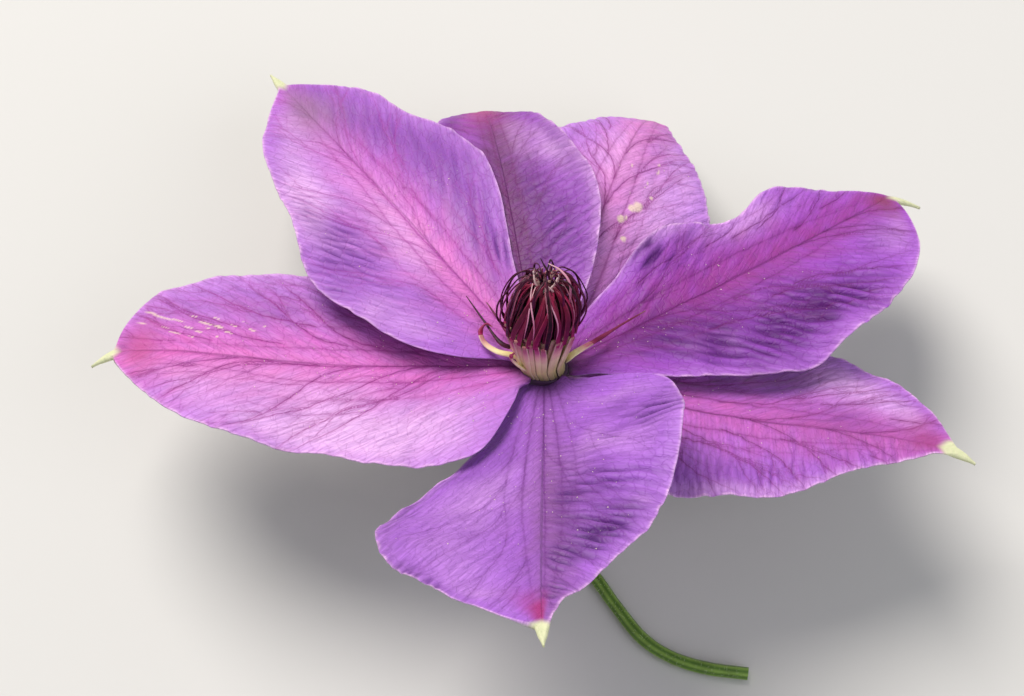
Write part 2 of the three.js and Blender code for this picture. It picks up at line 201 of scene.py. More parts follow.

# Each tepal's shape is the same list as its solid's, but for a broader claw on the front one's right half
# and a shoulder on the left one's left half. The looks come after it:
# gap and veins: how far the main veins stand apart, and how far apart the laterals leave them
# sweep: the angle of the laterals and pleats from the midrib, on the left and on the right
# drawn: how strongly the veins show
# bar: half width of the bar and how far its middle lies aside, and how strong it is from claw to tip
# pleats: where (share of length, column), how far they reach, spread, spacing, height and darkness;
# the darkness is painted shade in the troughs, over the tepal's own deeper colour there
# pales: where, reach, spread and strength, of light places where above 0 and of deep ones below; they
# are partly the tepal's own paler and deeper colour and partly painted light and painted shade
# flush: the stain before the spur, and scars: bleached nicks (along, across, half length, half width)
# spurFrom: the share where the spur's cream sets in, and hook: how far its end bends aside and up
tepals = {
    "tepal_front": {
        "azimuth": -92, "layer": 1, "length": 73,
        "rise": [-4, 14, 14, 8], "turn": [1, 1, 1, 1], "roll": [0, 0, 0, 0],
        "left": {"width": 25.5, "widest": 0.29, "blunt": 1.55, "fold": [26, 27, 1, -2],
                 "ripple": [0.9, 3.4, 0.1], "notch": [0.63, -0.12, 0.08], "claw": 3.4},
        "right": {"width": 25.5, "widest": 0.63, "blunt": 0.75, "fold": [-14, -11, 1, 8],
                  "ripple": [0.5, 3, 0.4], "notch": [0.44, -0.05, 0.14], "claw": 4.4},
        "seed": 3, "gap": 2.6, "veins": 8.0, "sweep": (66, 34), "drawn": 0.5,
        "bar": (5.0, 1.6), "pink": [0.3, 0.6, 0.75, 0.65, 0.5],
        "pleats": [
            (0.60, 0.54, 0.08, 0.31, 2.2, 0.44, 1.0), (0.70, 0.24, 0.05, 0.22, 1.9, 0.26, 1.0),
            (0.24, 0.82, 0.075, 0.22, 1.9, 0.34, 1.3), (0.14, 0.55, 0.05, 0.3, 2.4, 0.20, 0.7),
            (0.45, 0.46, 0.06, 0.30, 2.1, 0.26, 0.9), (0.38, 0.25, 0.12, 0.2, 1.8, 0.10, 0.5),
            (0.62, -0.5, 0.25, 0.4, 1.5, 0.05, 0.3), (0.45, -0.95, 0.2, 0.1, 1.6, 0.06, 0.7),
            (0.83, 0.42, 0.04, 0.3, 1.8, 0.18, 1.1), (0.78, -0.95, 0.1, 0.08, 1.6, 0.06, 0.8),
        ],
        "pales": [
            (0.35, 0.80, 0.06, 0.18, 0.2), (0.30, 0.45, 0.07, 0.25, 0.45),
            (0.12, 0.6, 0.04, 0.3, 0.3), (0.53, 0.85, 0.05, 0.14, 0.4), (0.42, -0.45, 0.14, 0.3, 0.5),
            (0.70, -0.60, 0.14, 0.3, 0.3), (0.84, -0.6, 0.06, 0.3, 0.3),
            (0.61, 0.56, 0.08, 0.30, -0.75), (0.12, 0.3, 0.05, 0.4, -0.05),
            (0.22, -0.66, 0.12, 0.3, -0.4), (0.5, 0.14, 0.2, 0.12, -0.3),
        ],
        "flush": (0.90, 0.055, 0.26, 0.95), "flushColour": "#a83078", "scars": [], "slant": 0.0,
        "spurFrom": 0.918, "hook": (0.3, -0.5),
        "field": "#ab66d5", "barColour": "#8f5a94", "deep": "#522070", "veinColour": "#6c2c80",
    },
    "tepal_right": {
        "azimuth": -17, "layer": 0, "length": 69.5,
        "rise": [-6, -2, 1, -10], "turn": [0, 3, 6, 3], "roll": [0, 0, 0, 0],
        "left": {"width": 19.7, "widest": 0.6, "blunt": 0.9, "fold": [-2, -5, -2, 0],
                 "ripple": [0.4, 3.5, 0.2]},
        "right": {"width": 19.4, "widest": 0.33, "blunt": 1.5, "fold": [-2, -4, -4, 0],
                  "ripple": [0.6, 4, 0.5], "notch": [0.59, -0.09, 0.16], "claw": 3},
        "seed": 5, "gap": 3.2, "veins": 6.2, "sweep": (34, 78), "drawn": 0.85,
        "bar": (9.0, 0.5), "pink": [0.6, 0.85, 0.9, 0.95, 1.0],
        "pleats": [
            (0.38, -0.66, 0.12, 0.28, 1.5, 0.16, 0.45), (0.52, -0.74, 0.14, 0.22, 1.4, 0.13, 0.35),
            (0.68, -0.66, 0.12, 0.22, 1.5, 0.09, 0.2), (0.62, 0.6, 0.2, 0.25, 1.6, 0.05, 0.15),
            (0.16, 0.1, 0.07, 0.4, 1.7, 0.08, 0.5),
        ],
        "pales": [
            (0.69, 0.64, 0.12, 0.26, 0.85), (0.82, 0.5, 0.06, 0.25, 0.5),
            (0.45, -0.93, 0.3, 0.1, 0.6), (0.55, 0.72, 0.12, 0.18, 0.35),
            (0.67, 0.16, 0.12, 0.2, -0.5), (0.66, -0.2, 0.12, 0.18, -0.25),
        ],
        "flush": (0.88, 0.05, 0.6, 0.7), "flushColour": "#a03c7c", "scars": [], "slant": 0.0,
        "spurFrom": 0.895, "hook": (-1.2, -0.4),
        "field": "#b26cd9", "barColour": "#c362b8", "deep": "#6a2c86", "veinColour": "#7c2470",
    },
    "tepal_upper_right": {
        "azimuth": 30, "layer": 1, "length": 75,
        "rise": [11, 5, 4, 0], "turn": [0, 2, 5, 8], "roll": [0, 0, 0, 0],
        "left": {"width": 16.2, "widest": 0.57, "blunt": 0.7, "fold": [13, 23, 6, 0],
                 "ripple": [0.8, 2.8, 0.27], "notch": [0.58, 0.27, 0.11]},
        "right": {"width": 22.8, "widest": 0.6, "blunt": 0.53, "fold": [5, -7, 2, 0],
                  "ripple": [0.5, 4, 0], "notch": [0.42, -0.12, 0.16]},
        "seed": 8, "gap": 3.6, "veins": 6.6, "sweep": (30, 48), "drawn": 0.85,
        "bar": (8.5, 0.6), "pink": [0.9, 1.0, 0.95, 0.85, 0.8],
        "pleats": [
            (0.60, -0.62, 0.10, 0.20, 1.9, 0.36, 1.0), (0.47, -0.64, 0.12, 0.22, 2.0, 0.28, 0.9),
            (0.68, -0.76, 0.08, 0.22, 1.6, 0.24, 0.7), (0.34, -0.72, 0.08, 0.24, 2.1, 0.20, 0.8),
            (0.80, -0.45, 0.07, 0.20, 1.5, 0.13, 0.5), (0.31, 0.82, 0.045, 0.2, 3.0, 0.5, 1.4),
            (0.42, 0.75, 0.05, 0.25, 2.4, 0.18, 0.5), (0.52, -0.38, 0.1, 0.2, 1.6, 0.10, 0.5),
        ],
        "pales": [
            (0.60, 0.86, 0.14, 0.3, 0.6), (0.85, -0.6, 0.08, 0.3, 0.4), (0.38, 0.95, 0.06, 0.12, 0.6),
            (0.32, -0.55, 0.05, 0.15, 0.35), (0.20, -0.2, 0.12, 0.5, -0.85),
            (0.26, -0.5, 0.08, 0.3, -0.4), (0.47, -0.6, 0.16, 0.3, -0.45),
            (0.56, -0.96, 0.2, 0.06, 0.3), (0.36, -0.25, 0.14, 0.2, -0.35),
        ],
        "flush": (0.93, 0.035, 0.6, 0.75), "flushColour": "#8a3c54", "scars": [], "slant": 0.0,
        "spurFrom": 0.932, "hook": (-4.2, -1.6),
        "field": "#a654cf", "barColour": "#993a96", "deep": "#581a72", "veinColour": "#6a1468",
    },
    "tepal_back_right": {
        "azimuth": 71, "layer": 0, "length": 78,
        "rise": [22, 17, -6, -60], "turn": [0, 2, 2, 2], "roll": [0, 0, 0, 0],
        "left": {"width": 18, "widest": 0.55, "blunt": 1, "fold": [-6, -14, -10, 0],
                 "ripple": [0.3, 3, 0]},
        "right": {"width": 21, "widest": 0.4, "blunt": 1.4, "fold": [-14, -22, -24, -20],
                  "ripple": [0.3, 3, 0.5], "notch": [0.66, -0.06, 0.1]},
        "seed": 13, "gap": 3.2, "veins": 7.5, "sweep": (32, 34), "drawn": 0.85,
        "bar": (8.0, -1.0), "pink": [0.7, 0.85, 1.0, 1.0, 0.9],
        "pleats": [
            (0.45, 0.8, 0.15, 0.15, 1.6, 0.12, 0.8), (0.22, -0.6, 0.08, 0.3, 1.8, 0.08, 0.3),
            (0.2, 0.4, 0.08, 0.3, 1.8, 0.08, 0.3), (0.60, 0.85, 0.08, 0.2, 2.4, 0.14, 0.7),
        ],
        "pales": [
            (0.60, 0.15, 0.1, 0.35, 0.5), (0.62, -0.72, 0.12, 0.25, 0.55),
            (0.42, -0.5, 0.1, 0.25, 0.4), (0.3, 0.6, 0.1, 0.2, 0.4), (0.34, -0.14, 0.1, 0.3, 0.3),
            (0.51, -0.38, 0.1, 0.25, 0.35),
        ],
        "flush": (0.9, 0.05, 0.6, 0.8), "flushColour": "#b0407c", "slant": 0.0,
        "scars": [
            (35.9, -5.6, 1.5, 0.85), (34.9, -4.6, 0.8, 0.6), (31.4, -3.4, 1.0, 0.5),
            (32.3, -4.3, 0.5, 0.3), (39.6, -7.6, 0.5, 0.3), (27.6, -5.0, 0.6, 0.5),
            (42.6, -6.0, 0.5, 0.16), (46.5, -7.0, 0.8, 0.2), (48.6, -6.6, 0.6, 0.16),
            (44.4, -2.0, 0.4, 0.2), (38.0, -3.4, 0.4, 0.16),
        ],
        "spurFrom": 0.95, "hook": (0, 0),
        "field": "#c080e0", "barColour": "#da82d0", "deep": "#702c88", "veinColour": "#86247a",
    },
    "tepal_back": {
        "azimuth": 107, "layer": 1, "length": 78,
        "rise": [26, 17, -7, -68], "turn": [-6, -8, -8, -8], "roll": [-4, -10, -10, 0],
        "left": {"width": 15, "widest": 0.55, "blunt": 1, "fold": [-4, -8, -6, 0],
                 "ripple": [0.3, 3, 0]},
        "right": {"width": 16.5, "widest": 0.41, "blunt": 1.45, "fold": [5, 6, -6, -20],
                  "ripple": [0.4, 3, 0.3], "notch": [0.57, 0.06, 0.15]},
        "seed": 17, "gap": 2.2, "veins": 7.5, "sweep": (36, 66), "drawn": 0.5,
        "bar": (5.2, -0.6), "pink": [0.8, 1.05, 1.0, 0.9, 0.9],
        "pleats": [
            (0.24, -0.50, 0.10, 0.32, 1.7, 0.13, 0.8), (0.36, -0.45, 0.12, 0.25, 1.7, 0.11, 0.5),
            (0.42, -0.8, 0.2, 0.2, 1.5, 0.08, 0.4), (0.5, 0.5, 0.3, 0.4, 2.0, 0.08, 0.3),
        ],
        "pales": [
            (0.54, -0.72, 0.07, 0.22, 0.75), (0.63, -0.55, 0.08, 0.25, 0.2),
            (0.42, -0.95, 0.3, 0.08, 0.5), (0.62, -0.3, 0.08, 0.2, 0.3), (0.15, 0, 0.08, 0.8, -0.35),
            (0.40, -0.3, 0.14, 0.2, -0.4), (0.6, -0.85, 0.1, 0.2, -0.3),
            (0.77, 0.62, 0.1, 0.25, -0.75),
        ],
        "flush": (0.84, 0.13, 0.42, 0.85), "flushColour": "#b83a88", "scars": [], "slant": 0.0,
        "spurFrom": 0.95, "hook": (0, 0),
        "field": "#a257c2", "barColour": "#743c74", "deep": "#5a2276", "veinColour": "#6c2468",
    },
    "tepal_upper_left": {
        "azimuth": 139, "layer": 3, "length": 79,
        "rise": [16, 12, 9, 8], "turn": [-8, -12, -12, -13], "roll": [0, 0, 0, 0],
        "left": {"width": 24, "widest": 0.43, "blunt": 0.9, "fold": [7, 4, 8, 0],
                 "ripple": [0.7, 4, 0.3], "notch": [0.59, 0.16, 0.16]},
        "right": {"width": 20.5, "widest": 0.63, "blunt": 0.68, "fold": [11, 13, 8, 0],
                  "ripple": [0.4, 3, 0], "notch": [0.73, 0.26, 0.12]},
        "seed": 21, "gap": 3.4, "veins": 7.5, "sweep": (42, 26), "drawn": 0.6,
        "bar": (7.5, 0.6), "pink": [0.9, 1.0, 0.9, 0.6, 0.3],
        "pleats": [
            (0.40, 0.64, 0.08, 0.26, 1.6, 0.20, 0.9), (0.55, 0.84, 0.05, 0.12, 1.5, 0.15, 0.9),
            (0.33, 0.90, 0.04, 0.12, 1.5, 0.14, 0.9), (0.24, -0.82, 0.07, 0.2, 1.8, 0.16, 1.0),
            (0.47, 0.55, 0.05, 0.25, 1.5, 0.11, 0.6), (0.42, -0.7, 0.2, 0.3, 2.2, 0.05, 0.2),
            (0.25, 0.5, 0.1, 0.3, 1.8, 0.09, 0.3), (0.75, -0.5, 0.12, 0.3, 1.9, 0.04, 0.1),
        ],
        "pales": [
            (0.60, 0.76, 0.13, 0.3, 1.3), (0.46, 0.15, 0.16, 0.22, 0.6),
            (0.22, 0.85, 0.08, 0.25, 0.6), (0.36, -0.45, 0.1, 0.12, 0.4), (0.78, 0.4, 0.1, 0.4, 0.5),
            (0.33, 0.2, 0.1, 0.2, 0.3), (0.72, -0.5, 0.16, 0.4, -0.55),
            (0.50, -0.65, 0.18, 0.32, -0.65), (0.28, -0.5, 0.12, 0.25, -0.4),
            (0.86, -0.2, 0.08, 0.5, -0.3),
        ],
        "flush": (0.86, 0.1, 0.45, 0.65), "flushColour": "#90728a", "scars": [], "slant": 0.0,
        "spurFrom": 0.93, "hook": (0.2, 0.3),
        "field": "#b26dd4", "barColour": "#de78cc", "deep": "#6f3590", "veinColour": "#a03898",
    },
    "tepal_left": {
        "azimuth": 184, "layer": 2, "length": 73,
        "rise": [0, 0, 5, -12], "turn": [-4, -5, -8, -8], "roll": [-2, -8, -6, 0],
        "left": {"width": 24.2, "widest": 0.32, "blunt": 0.64, "fold": [5, 5, 5, 0],
                 "ripple": [0.7, 3.5, 0], "notch": [0.45, 0.1, 0.12], "claw": 3.2,
                 "shoulder": (0.38, 0.055)},
        "right": {"width": 19.5, "widest": 0.66, "blunt": 0.4, "fold": [8, 7, 2, 0],
                  "ripple": [0.4, 3, 0.6], "notch": [0.45, -0.04, 0.08]},
        "seed": 27, "gap": 3.8, "veins": 6.0, "sweep": (34, 28), "drawn": 0.9,
        "bar": (11.5, 1.0), "pink": [0.65, 0.8, 0.85, 0.95, 1.0],
        "pleats": [
            (0.45, -0.75, 0.2, 0.3, 1.9, 0.07, 0.4), (0.6, 0.6, 0.2, 0.4, 1.8, 0.05, 0.1),
            (0.24, 0.55, 0.1, 0.25, 2.2, 0.12, 0.15), (0.16, -0.4, 0.08, 0.5, 1.8, 0.06, 0.5),
        ],
        "pales": [
            (0.34, 0.76, 0.14, 0.25, 1.0), (0.5, 0.80, 0.18, 0.22, 0.9), (0.20, 0.6, 0.1, 0.25, 0.75),
            (0.56, 0.35, 0.22, 0.35, 0.55), (0.40, 0.4, 0.1, 0.2, 0.4), (0.78, 0.5, 0.1, 0.3, 0.4),
            (0.18, -0.5, 0.1, 0.3, -0.3), (0.30, -0.65, 0.12, 0.3, -0.35),
            (0.72, -0.6, 0.12, 0.25, -0.3), (0.60, -0.5, 0.06, 0.2, -0.3),
            (0.93, -0.05, 0.02, 0.3, -0.7),
        ],
        "flush": (0.89, 0.045, 0.7, 0.65), "flushColour": "#b44a86", "slant": 0.32,
        "scars": [
            (54.5, -7.0, 1.5, 0.2), (52.2, -6.3, 1.0, 0.22), (49.8, -7.0, 0.8, 0.16),
            (57.5, -6.1, 1.2, 0.2), (59.4, -7.7, 1.4, 0.16), (62.3, -8.4, 1.8, 0.2),
            (46.5, -6.4, 0.7, 0.18), (64.4, -9.4, 1.4, 0.2), (55.6, -5.0, 0.9, 0.22),
            (53.0, -8.4, 0.7, 0.12), (50.6, -5.3, 0.9, 0.16), (57.0, -8.8, 0.8, 0.12),
            (48.0, -8.0, 0.6, 0.12), (59.8, -4.6, 1.1, 0.16), (56.4, -3.6, 0.8, 0.14),
            (65.8, -7.0, 1.0, 0.14), (52.0, -4.0, 0.6, 0.14), (61.6, -6.0, 0.9, 0.12),
            (44.2, -7.4, 0.5, 0.12), (54.0, -5.8, 0.5, 0.14),
        ],
        "spurFrom": 0.925, "hook": (2.6, -0.4),
        "field": "#be7cda", "barColour": "#dc68c0", "deep": "#6e3484", "veinColour": "#8c1f7c",
    },
}


# Half the width of one side at share s: a blade that swells from its claw and closes towards its end,
# (k/m)^a ((1-k)/(1-m))^b, drawn in at its notch by the bell curve 1 - depth exp(-((s-at)/reach)^2),
# joined by the root of the sum of squares to a conical spur, and the claw. A shoulder draws in the foot.
def halfWidth(side, s):
    k = np.clip(s / tepalMake["bladeShare"], 0, 1)
    widest, blunt = side["widest"], side["blunt"]
    swell = blunt * widest / (1 - widest)
    notchAt, depth, reach = side.get("notch", (0, 0, 1))
    drawnIn = 1 - depth * np.exp(-((s - notchAt) / reach) ** 2)
    blade = drawnIn * side["width"] * (k / widest) ** swell * ((1 - k) / (1 - widest)) ** blunt
    spur = (tepalMake["spur"] + tepalMake["spurFlare"] * (1 - s)) * smooth((s - 0.5) / 0.3)
    spur = spur * (1 - 0.5 * smooth((s - 0.97) / 0.03))
    shoulderDepth, shoulderReach = side.get("shoulder", (0, 1))
    foot = 1 - shoulderDepth * np.exp(-(s / shoulderReach) ** 2)
    return (np.hypot(blade, spur) + side.get("claw", tepalMake["claw"]) * (1 - smooth(s / 0.25))) * foot


# The midrib's points and directions at shares s: the direction is (cos r cos t, cos r sin t, sin r) of
# its rise and turn, and the points are its running sum.
def midrib(look, s):
    fine = np.linspace(0, 1, 4001)
    rise, turn = np.radians(through(look["rise"], fine)), np.radians(through(look["turn"], fine))
    way = np.stack([np.cos(rise) * np.cos(turn), np.cos(rise) * np.sin(turn), np.sin(rise)], 1)
    run = np.concatenate([[[0, 0, 0]], np.cumsum((way[1:] + way[:-1]) / 2, 0)]) * look["length"] / 4000
    at = np.stack([np.interp(s, fine, run[:, i]) for i in range(3)], 1)
    forward = np.stack([np.interp(s, fine, way[:, i]) for i in range(3)], 1)
    return at + [tepalMake["start"], 0, 0], forward / np.linalg.norm(forward, axis=1, keepdims=True)


# A smooth line that sets off at a heading and bends: the heading's cosine and sine summed in even steps,
# with a slow wander added. Gives its points, along and across in millimetres.
def wanderingLine(start, headings, step, rng, wander):
    n = len(headings)
    stray = np.cumsum(rng.normal(0, 1, n)) * wander
    stray -= np.linspace(0, stray[-1], n) * 0.6
    at = np.radians(headings + stray)
    return np.array(start) + np.cumsum(np.stack([np.cos(at), np.sin(at)], 1) * step, 0)


# The veins of one tepal as lines in the flat: five main veins that part and close again with the sine of
# their share, laterals that leave them at a small angle that grows to the sweep, and two orders of
# forks. Each is (points, strength). Gives the main veins and the rest.
def veinLines(look, rng):
    length, gap = look["length"], look["gap"]
    s = np.linspace(0, 1, 60)

    # how far a main vein lies from the midrib: order · (0.6 + gap · parted - share / 2)
    def mainAt(order, share):
        parted = np.abs(np.sin(np.pi * np.clip(share, 0, 1) ** 0.85)) ** 0.8
        return order * (0.6 + gap * parted - 0.5 * share)

    ribs, veins = [], []
    for order, reach, strength in tepalMake["mainVeins"]:
        share = s[s <= reach]
        wobble = np.cumsum(rng.normal(0, 0.06, len(share)))
        points = np.stack([share * length, mainAt(order, share) + wobble * np.sin(np.pi * share)], 1)
        ribs.append((points, strength))
    step = 0.6
    for sign, side, sweep in ((1, look["left"], look["sweep"][0]), (-1, look["right"], look["sweep"][1])):
        sweep = min(sweep, tepalMake["steepest"])
        at = 0.06 * length
        while at < 0.84 * length:
            share = at / length
            order = rng.choice([0, 1, 2]) * sign
            reach = halfWidth(side, np.array(share)) / math.sin(math.radians(sweep)) * 1.15
            n = max(int(reach / step), 6)
            bend = smooth(np.arange(n) / 22.0)
            headings = sign * (sweep * (0.3 + 0.7 * bend) - 14 * smooth(np.arange(n) / n - 0.25))
            trunk = wanderingLine((at, mainAt(order, share)), headings, step, rng, 2.4)
            veins.append((trunk, 0.95))
            for forkAt in (0.22, 0.45, 0.7):
                i = int(n * (forkAt + rng.uniform(-0.07, 0.07)))
                turn = rng.choice([-1, 1]) * rng.uniform(18, 34)
                m = max(int(n * rng.uniform(0.22, 0.42)), 5)
                bending = headings[i] + turn * (1 - 0.6 * np.arange(m) / m)
                fork = wanderingLine(trunk[i], bending, step, rng, 3.4)
                veins.append((fork, 0.6))
                j, k = int(m * rng.uniform(0.35, 0.7)), max(int(m * 0.5), 4)
                twist = rng.choice([-1, 1]) * rng.uniform(26, 50)
                twig = wanderingLine(fork[j], np.full(k, headings[i] + turn * 0.7 + twist), step, rng, 4.5)
                veins.append((twig, 0.35))
            at += look["veins"] * rng.uniform(0.7, 1.3)
    return ribs, veins


# For a grid of flat points, the way to the nearest of some lines: its distance, above 0 to the line's
# left and below 0 to its right, the same without a sign, and that line's strength, which eases off
# towards its end as 1 - 0.7 share^2. The sign lets the finish draw a line thinner than the grid's steps.
def nearestLine(lines, along, across):
    reach = tepalMake["veinReach"]
    gap, side, strength = np.full_like(across, reach), np.full_like(across, reach), np.zeros_like(across)
    for points, drawn in lines:
        low, high = points.min(0) - reach, points.max(0) + reach
        rows = slice(*np.searchsorted(along[:, 0], (low[0], high[0])))
        inside = ((across[rows] > low[1]) & (across[rows] < high[1])).any(0)
        if not inside.any():
            continue
        columns = slice(int(np.argmax(inside)), len(inside) - int(np.argmax(inside[::-1])))
        p = np.stack([along[rows, columns], across[rows, columns]], -1)[:, :, None, :]
        a, d = points[:-1], points[1:] - points[:-1]
        t = np.clip(((p - a) * d).sum(-1) / np.maximum((d * d).sum(-1), 1e-9), 0, 1)
        away = p - a - t[..., None] * d
        far = np.hypot(away[..., 0], away[..., 1])
        best = far.argmin(-1)[..., None]
        turned = d[:, 0] * away[..., 1] - d[:, 1] * away[..., 0]
        far = np.take_along_axis(far, best, -1)[..., 0]
        way = np.where(np.take_along_axis(turned, best, -1)[..., 0] < 0, -1.0, 1.0)
        share = (best + np.take_along_axis(t, best, -1))[..., 0] / len(a)
        closer = far < gap[rows, columns]
        side[rows, columns] = np.where(closer, far * way, side[rows, columns])
        strength[rows, columns] = np.where(closer, drawn * (1 - 0.7 * share ** 2), strength[rows, columns])
        gap[rows, columns] = np.where(closer, far, gap[rows, columns])
    return side, gap, strength


skins = {}  # each tepal's upper side, for what lies on it


# One tepal as a closed sheet. Its middle surface is midrib + across · width · cos(fold)
# + up · (width · sin(fold) + ripple), as its solid's is, with pleats, veins and a crimped margin along
# the normal. The underside has every second row and column of the upper side.
def makeTepal(name, look):
    rng = np.random.default_rng(flower["seed"] * 100 + look["seed"])
    rows, columns = tepalMake["rows"], tepalMake["columns"]
    t = np.linspace(0, 1, rows)
    s = np.clip(t * (1.35 - 0.35 * t), 0, 1)
    u = np.linspace(-1, 1, columns)
    v = u * (1.2 - 0.2 * u * u)
    out = np.abs(v)[None, :]
    left = (v >= 0)[None, :]
    share, column = np.repeat(s[:, None], columns, 1), np.repeat(v[None, :], rows, 0)

    # a value worked out for each half from its own shape
    def bySide(key, value):
        return np.where(left, value(look["left"][key])[:, None], value(look["right"][key])[:, None])

    width = np.where(left, halfWidth(look["left"], s)[:, None], halfWidth(look["right"], s)[:, None])
    along = share * look["length"]
    across = width * v[None, :]
    settleFrom, settleOver = tepalMake["settle"]
    closeFrom, closeOver = tepalMake["close"]
    marginFrom, marginOver = tepalMake["margin"]
    settle = smooth((s - settleFrom) / settleOver)[:, None]
    close = smooth((1 - s - closeFrom) / closeOver)[:, None]
    edge = smooth((out - marginFrom) / marginOver)
    fold = bySide("fold", lambda values: np.radians(through(values, s)))
    ripple = bySide("ripple", lambda r: r[0] * np.sin(2 * np.pi * (r[1] * s + r[2])))
    ripple = ripple * out ** 2 * smooth(s / 0.3)[:, None] * smooth((1 - s) / 0.15)[:, None]

    sweeps = np.radians(np.where(left, look["sweep"][0], look["sweep"][1]))
    run = along * np.cos(sweeps) + np.abs(across) * np.sin(sweeps)  # along a pleat
    step = along * np.sin(sweeps) - np.abs(across) * np.cos(sweeps)  # across the pleats
    pleat, deep = np.zeros_like(across), np.zeros_like(across)
    for place, middleColumn, reach, spread, spacing, height, dark in look["pleats"]:
        away = ((share - place) / reach) ** 2 + ((column - middleColumn) / spread) ** 2
        mask = np.exp(-away * (1 + 0.5 * np.tanh(waves(along, across, 8, rng)))) * settle * close
        lines = np.tanh(1.3 * waves(step, run, spacing, rng, spread=15))
        pleat += height * mask * lines
        # the troughs take the deep colour: painted shade in the folds, over the tepal's own deeper colour
        deep += dark * mask * (0.62 - 0.42 * lines)
    fringeSize, fringeHeight = tepalMake["fringe"]
    lumpSize, lumpHeight = tepalMake["lumps"]
    crumpleSize, crumpleHeight = tepalMake["crumple"]
    grainSize, grainHeight = tepalMake["grain"]
    fringe = waves(along, across * 0.3, fringeSize, rng, spread=20) * edge
    lumps = waves(along, across, lumpSize, rng)
    crumple = waves(step, run * 0.35, crumpleSize, rng, spread=40)
    grain = waves(step, run * 0.3, grainSize, rng, spread=30)
    blade = smooth(np.abs(across) / 4)
    fine = crumpleHeight * crumple + grainHeight * grain
    relief = lumpHeight * lumps * (0.3 + 0.7 * out) + fine * blade + fringeHeight * fringe
    relief = settle * close * relief + pleat

    ribs, veins = veinLines(look, rng)
    ribWay, ribGap, ribStrength = nearestLine(ribs, along, across)
    veinWay, veinGap, veinStrength = nearestLine(veins, along, across)
    tremble = tepalMake["tremble"] * waves(along, across, 1.8, rng)
    ribMark = ribStrength * np.exp(-(ribGap / 0.5) ** 2)
    veinMark = veinStrength * np.exp(-(veinGap / 0.42) ** 2) * look["drawn"]
    puff = tepalMake["puff"] * smooth(np.minimum(veinGap, ribGap) / 1.5) * look["drawn"]
    trough = 0.6 * (1 - smooth(s / 0.35))[:, None]  # the main veins lie deepest near the claw

    centre, forward = midrib(look, s)
    level = np.stack([-forward[:, 1], forward[:, 0], 0 * s], 1)
    level /= np.linalg.norm(level, axis=1, keepdims=True)
    roll = np.radians(through(look["roll"], s))[:, None]
    aside = level * np.cos(roll) + np.cross(forward, level) * np.sin(roll)
    up = np.cross(forward, aside)
    hookFrom = tepalMake["hookFrom"]
    bent = np.clip((s - hookFrom) / (1 - hookFrom), 0, 1)[:, None] ** 1.8
    centre = centre + bent * (aside * look["hook"][0] + up * look["hook"][1])
    flat = np.abs(across)
    lifted = np.hypot(flat, tepalMake["crease"]) - tepalMake["crease"]
    height = lifted * np.sin(fold) + ripple
    middle = centre[:, None] + aside[:, None] * (np.sign(v) * flat * np.cos(fold))[..., None]
    middle = middle + up[:, None] * height[..., None]
    # the claw's foot bends round the axis: its first rows are drawn in to x = sqrt(foot^2 - across^2)
    foot = tepalMake["foot"]
    drawnIn = tepalMake["start"] - np.sqrt(foot ** 2 - np.minimum(flat, 0.85 * foot) ** 2)
    middle[..., 0] -= drawnIn * (1 - smooth(s / 0.1))[:, None] * (1 - smooth((flat - 3.6) / 2.6))

    # unit normals: the cross product of the steps along and across the sheet
    def normals(surface):
        n = np.cross(np.gradient(surface, axis=0), np.gradient(surface, axis=1))
        return n / np.maximum(np.linalg.norm(n, axis=-1, keepdims=True), 1e-12)

    middle = middle + normals(middle) * relief[..., None]
    normal = normals(middle)
    spur = smooth((share - look["spurFrom"] - 0.008 * np.abs(across)) / 0.025)
    spur = spur * smooth((3.0 - np.abs(across)) / 1.6)
    sheet, rim = tepalMake["sheet"], tepalMake["rim"]
    thick = rim + (sheet - rim) * (1 - out ** 6)
    fleshy = (0.35 + 1.1 * halfWidth(look["left"], s)[:, None]) * np.sqrt(1 - 0.97 * out ** 2)
    thick = thick + (np.minimum(fleshy, 0.95) - thick) * smooth((s - 0.92) / 0.035)[:, None]
    groove = tepalMake["ribDepth"] * ribMark * (0.5 + trough) + tepalMake["veinDepth"] * veinMark - puff
    upper = middle + normal * (thick / 2 - groove * settle * close * (1 - spur))[..., None]
    rib = tepalMake["underRib"] * ribMark * (1 - smooth(s / 0.9))[:, None]
    rib = rib + tepalMake["underVein"] * veinMark
    under = (middle - normal * (thick / 2 + rib * (1 - spur) * settle)[..., None])[::2, ::2]

    turn = math.radians(look["azimuth"])
    spin = np.array([[math.cos(turn), -math.sin(turn), 0], [math.sin(turn), math.cos(turn), 0], [0, 0, 1]])
    points = np.concatenate([upper.reshape(-1, 3), under.reshape(-1, 3)]) @ spin.T
    points = points + [0, 0, look["layer"] * tepalMake["layer"]]
    upperSide = points[:rows * columns].reshape(rows, columns, 3)
    skins[name] = {"at": upperSide, "normal": normal @ spin.T, "s": s, "v": v}
    points = placed(points)

    # Faces: quads above and below, and a five-sided strip round the margin, two steps above to one below.
    top = np.arange(rows * columns).reshape(rows, columns)
    low = rows * columns + np.arange(under.shape[0] * under.shape[1]).reshape(under.shape[:2])
    above = np.stack([top[:-1, :-1], top[1:, :-1], top[1:, 1:], top[:-1, 1:]], -1).reshape(-1, 4)
    below = np.stack([low[:-1, :-1], low[:-1, 1:], low[1:, 1:], low[1:, :-1]], -1).reshape(-1, 4)
    roundTop = np.concatenate([top[:-1, 0], top[-1, :-1], top[:0:-1, -1], top[0, :0:-1]])
    roundLow = np.concatenate([low[:-1, 0], low[-1, :-1], low[:0:-1, -1], low[0, :0:-1]])
    nextLow = np.roll(roundLow, -1)
    strip = np.stack([roundLow, nextLow, np.roll(roundTop, -2)[::2], roundTop[1::2], roundTop[::2]], -1)
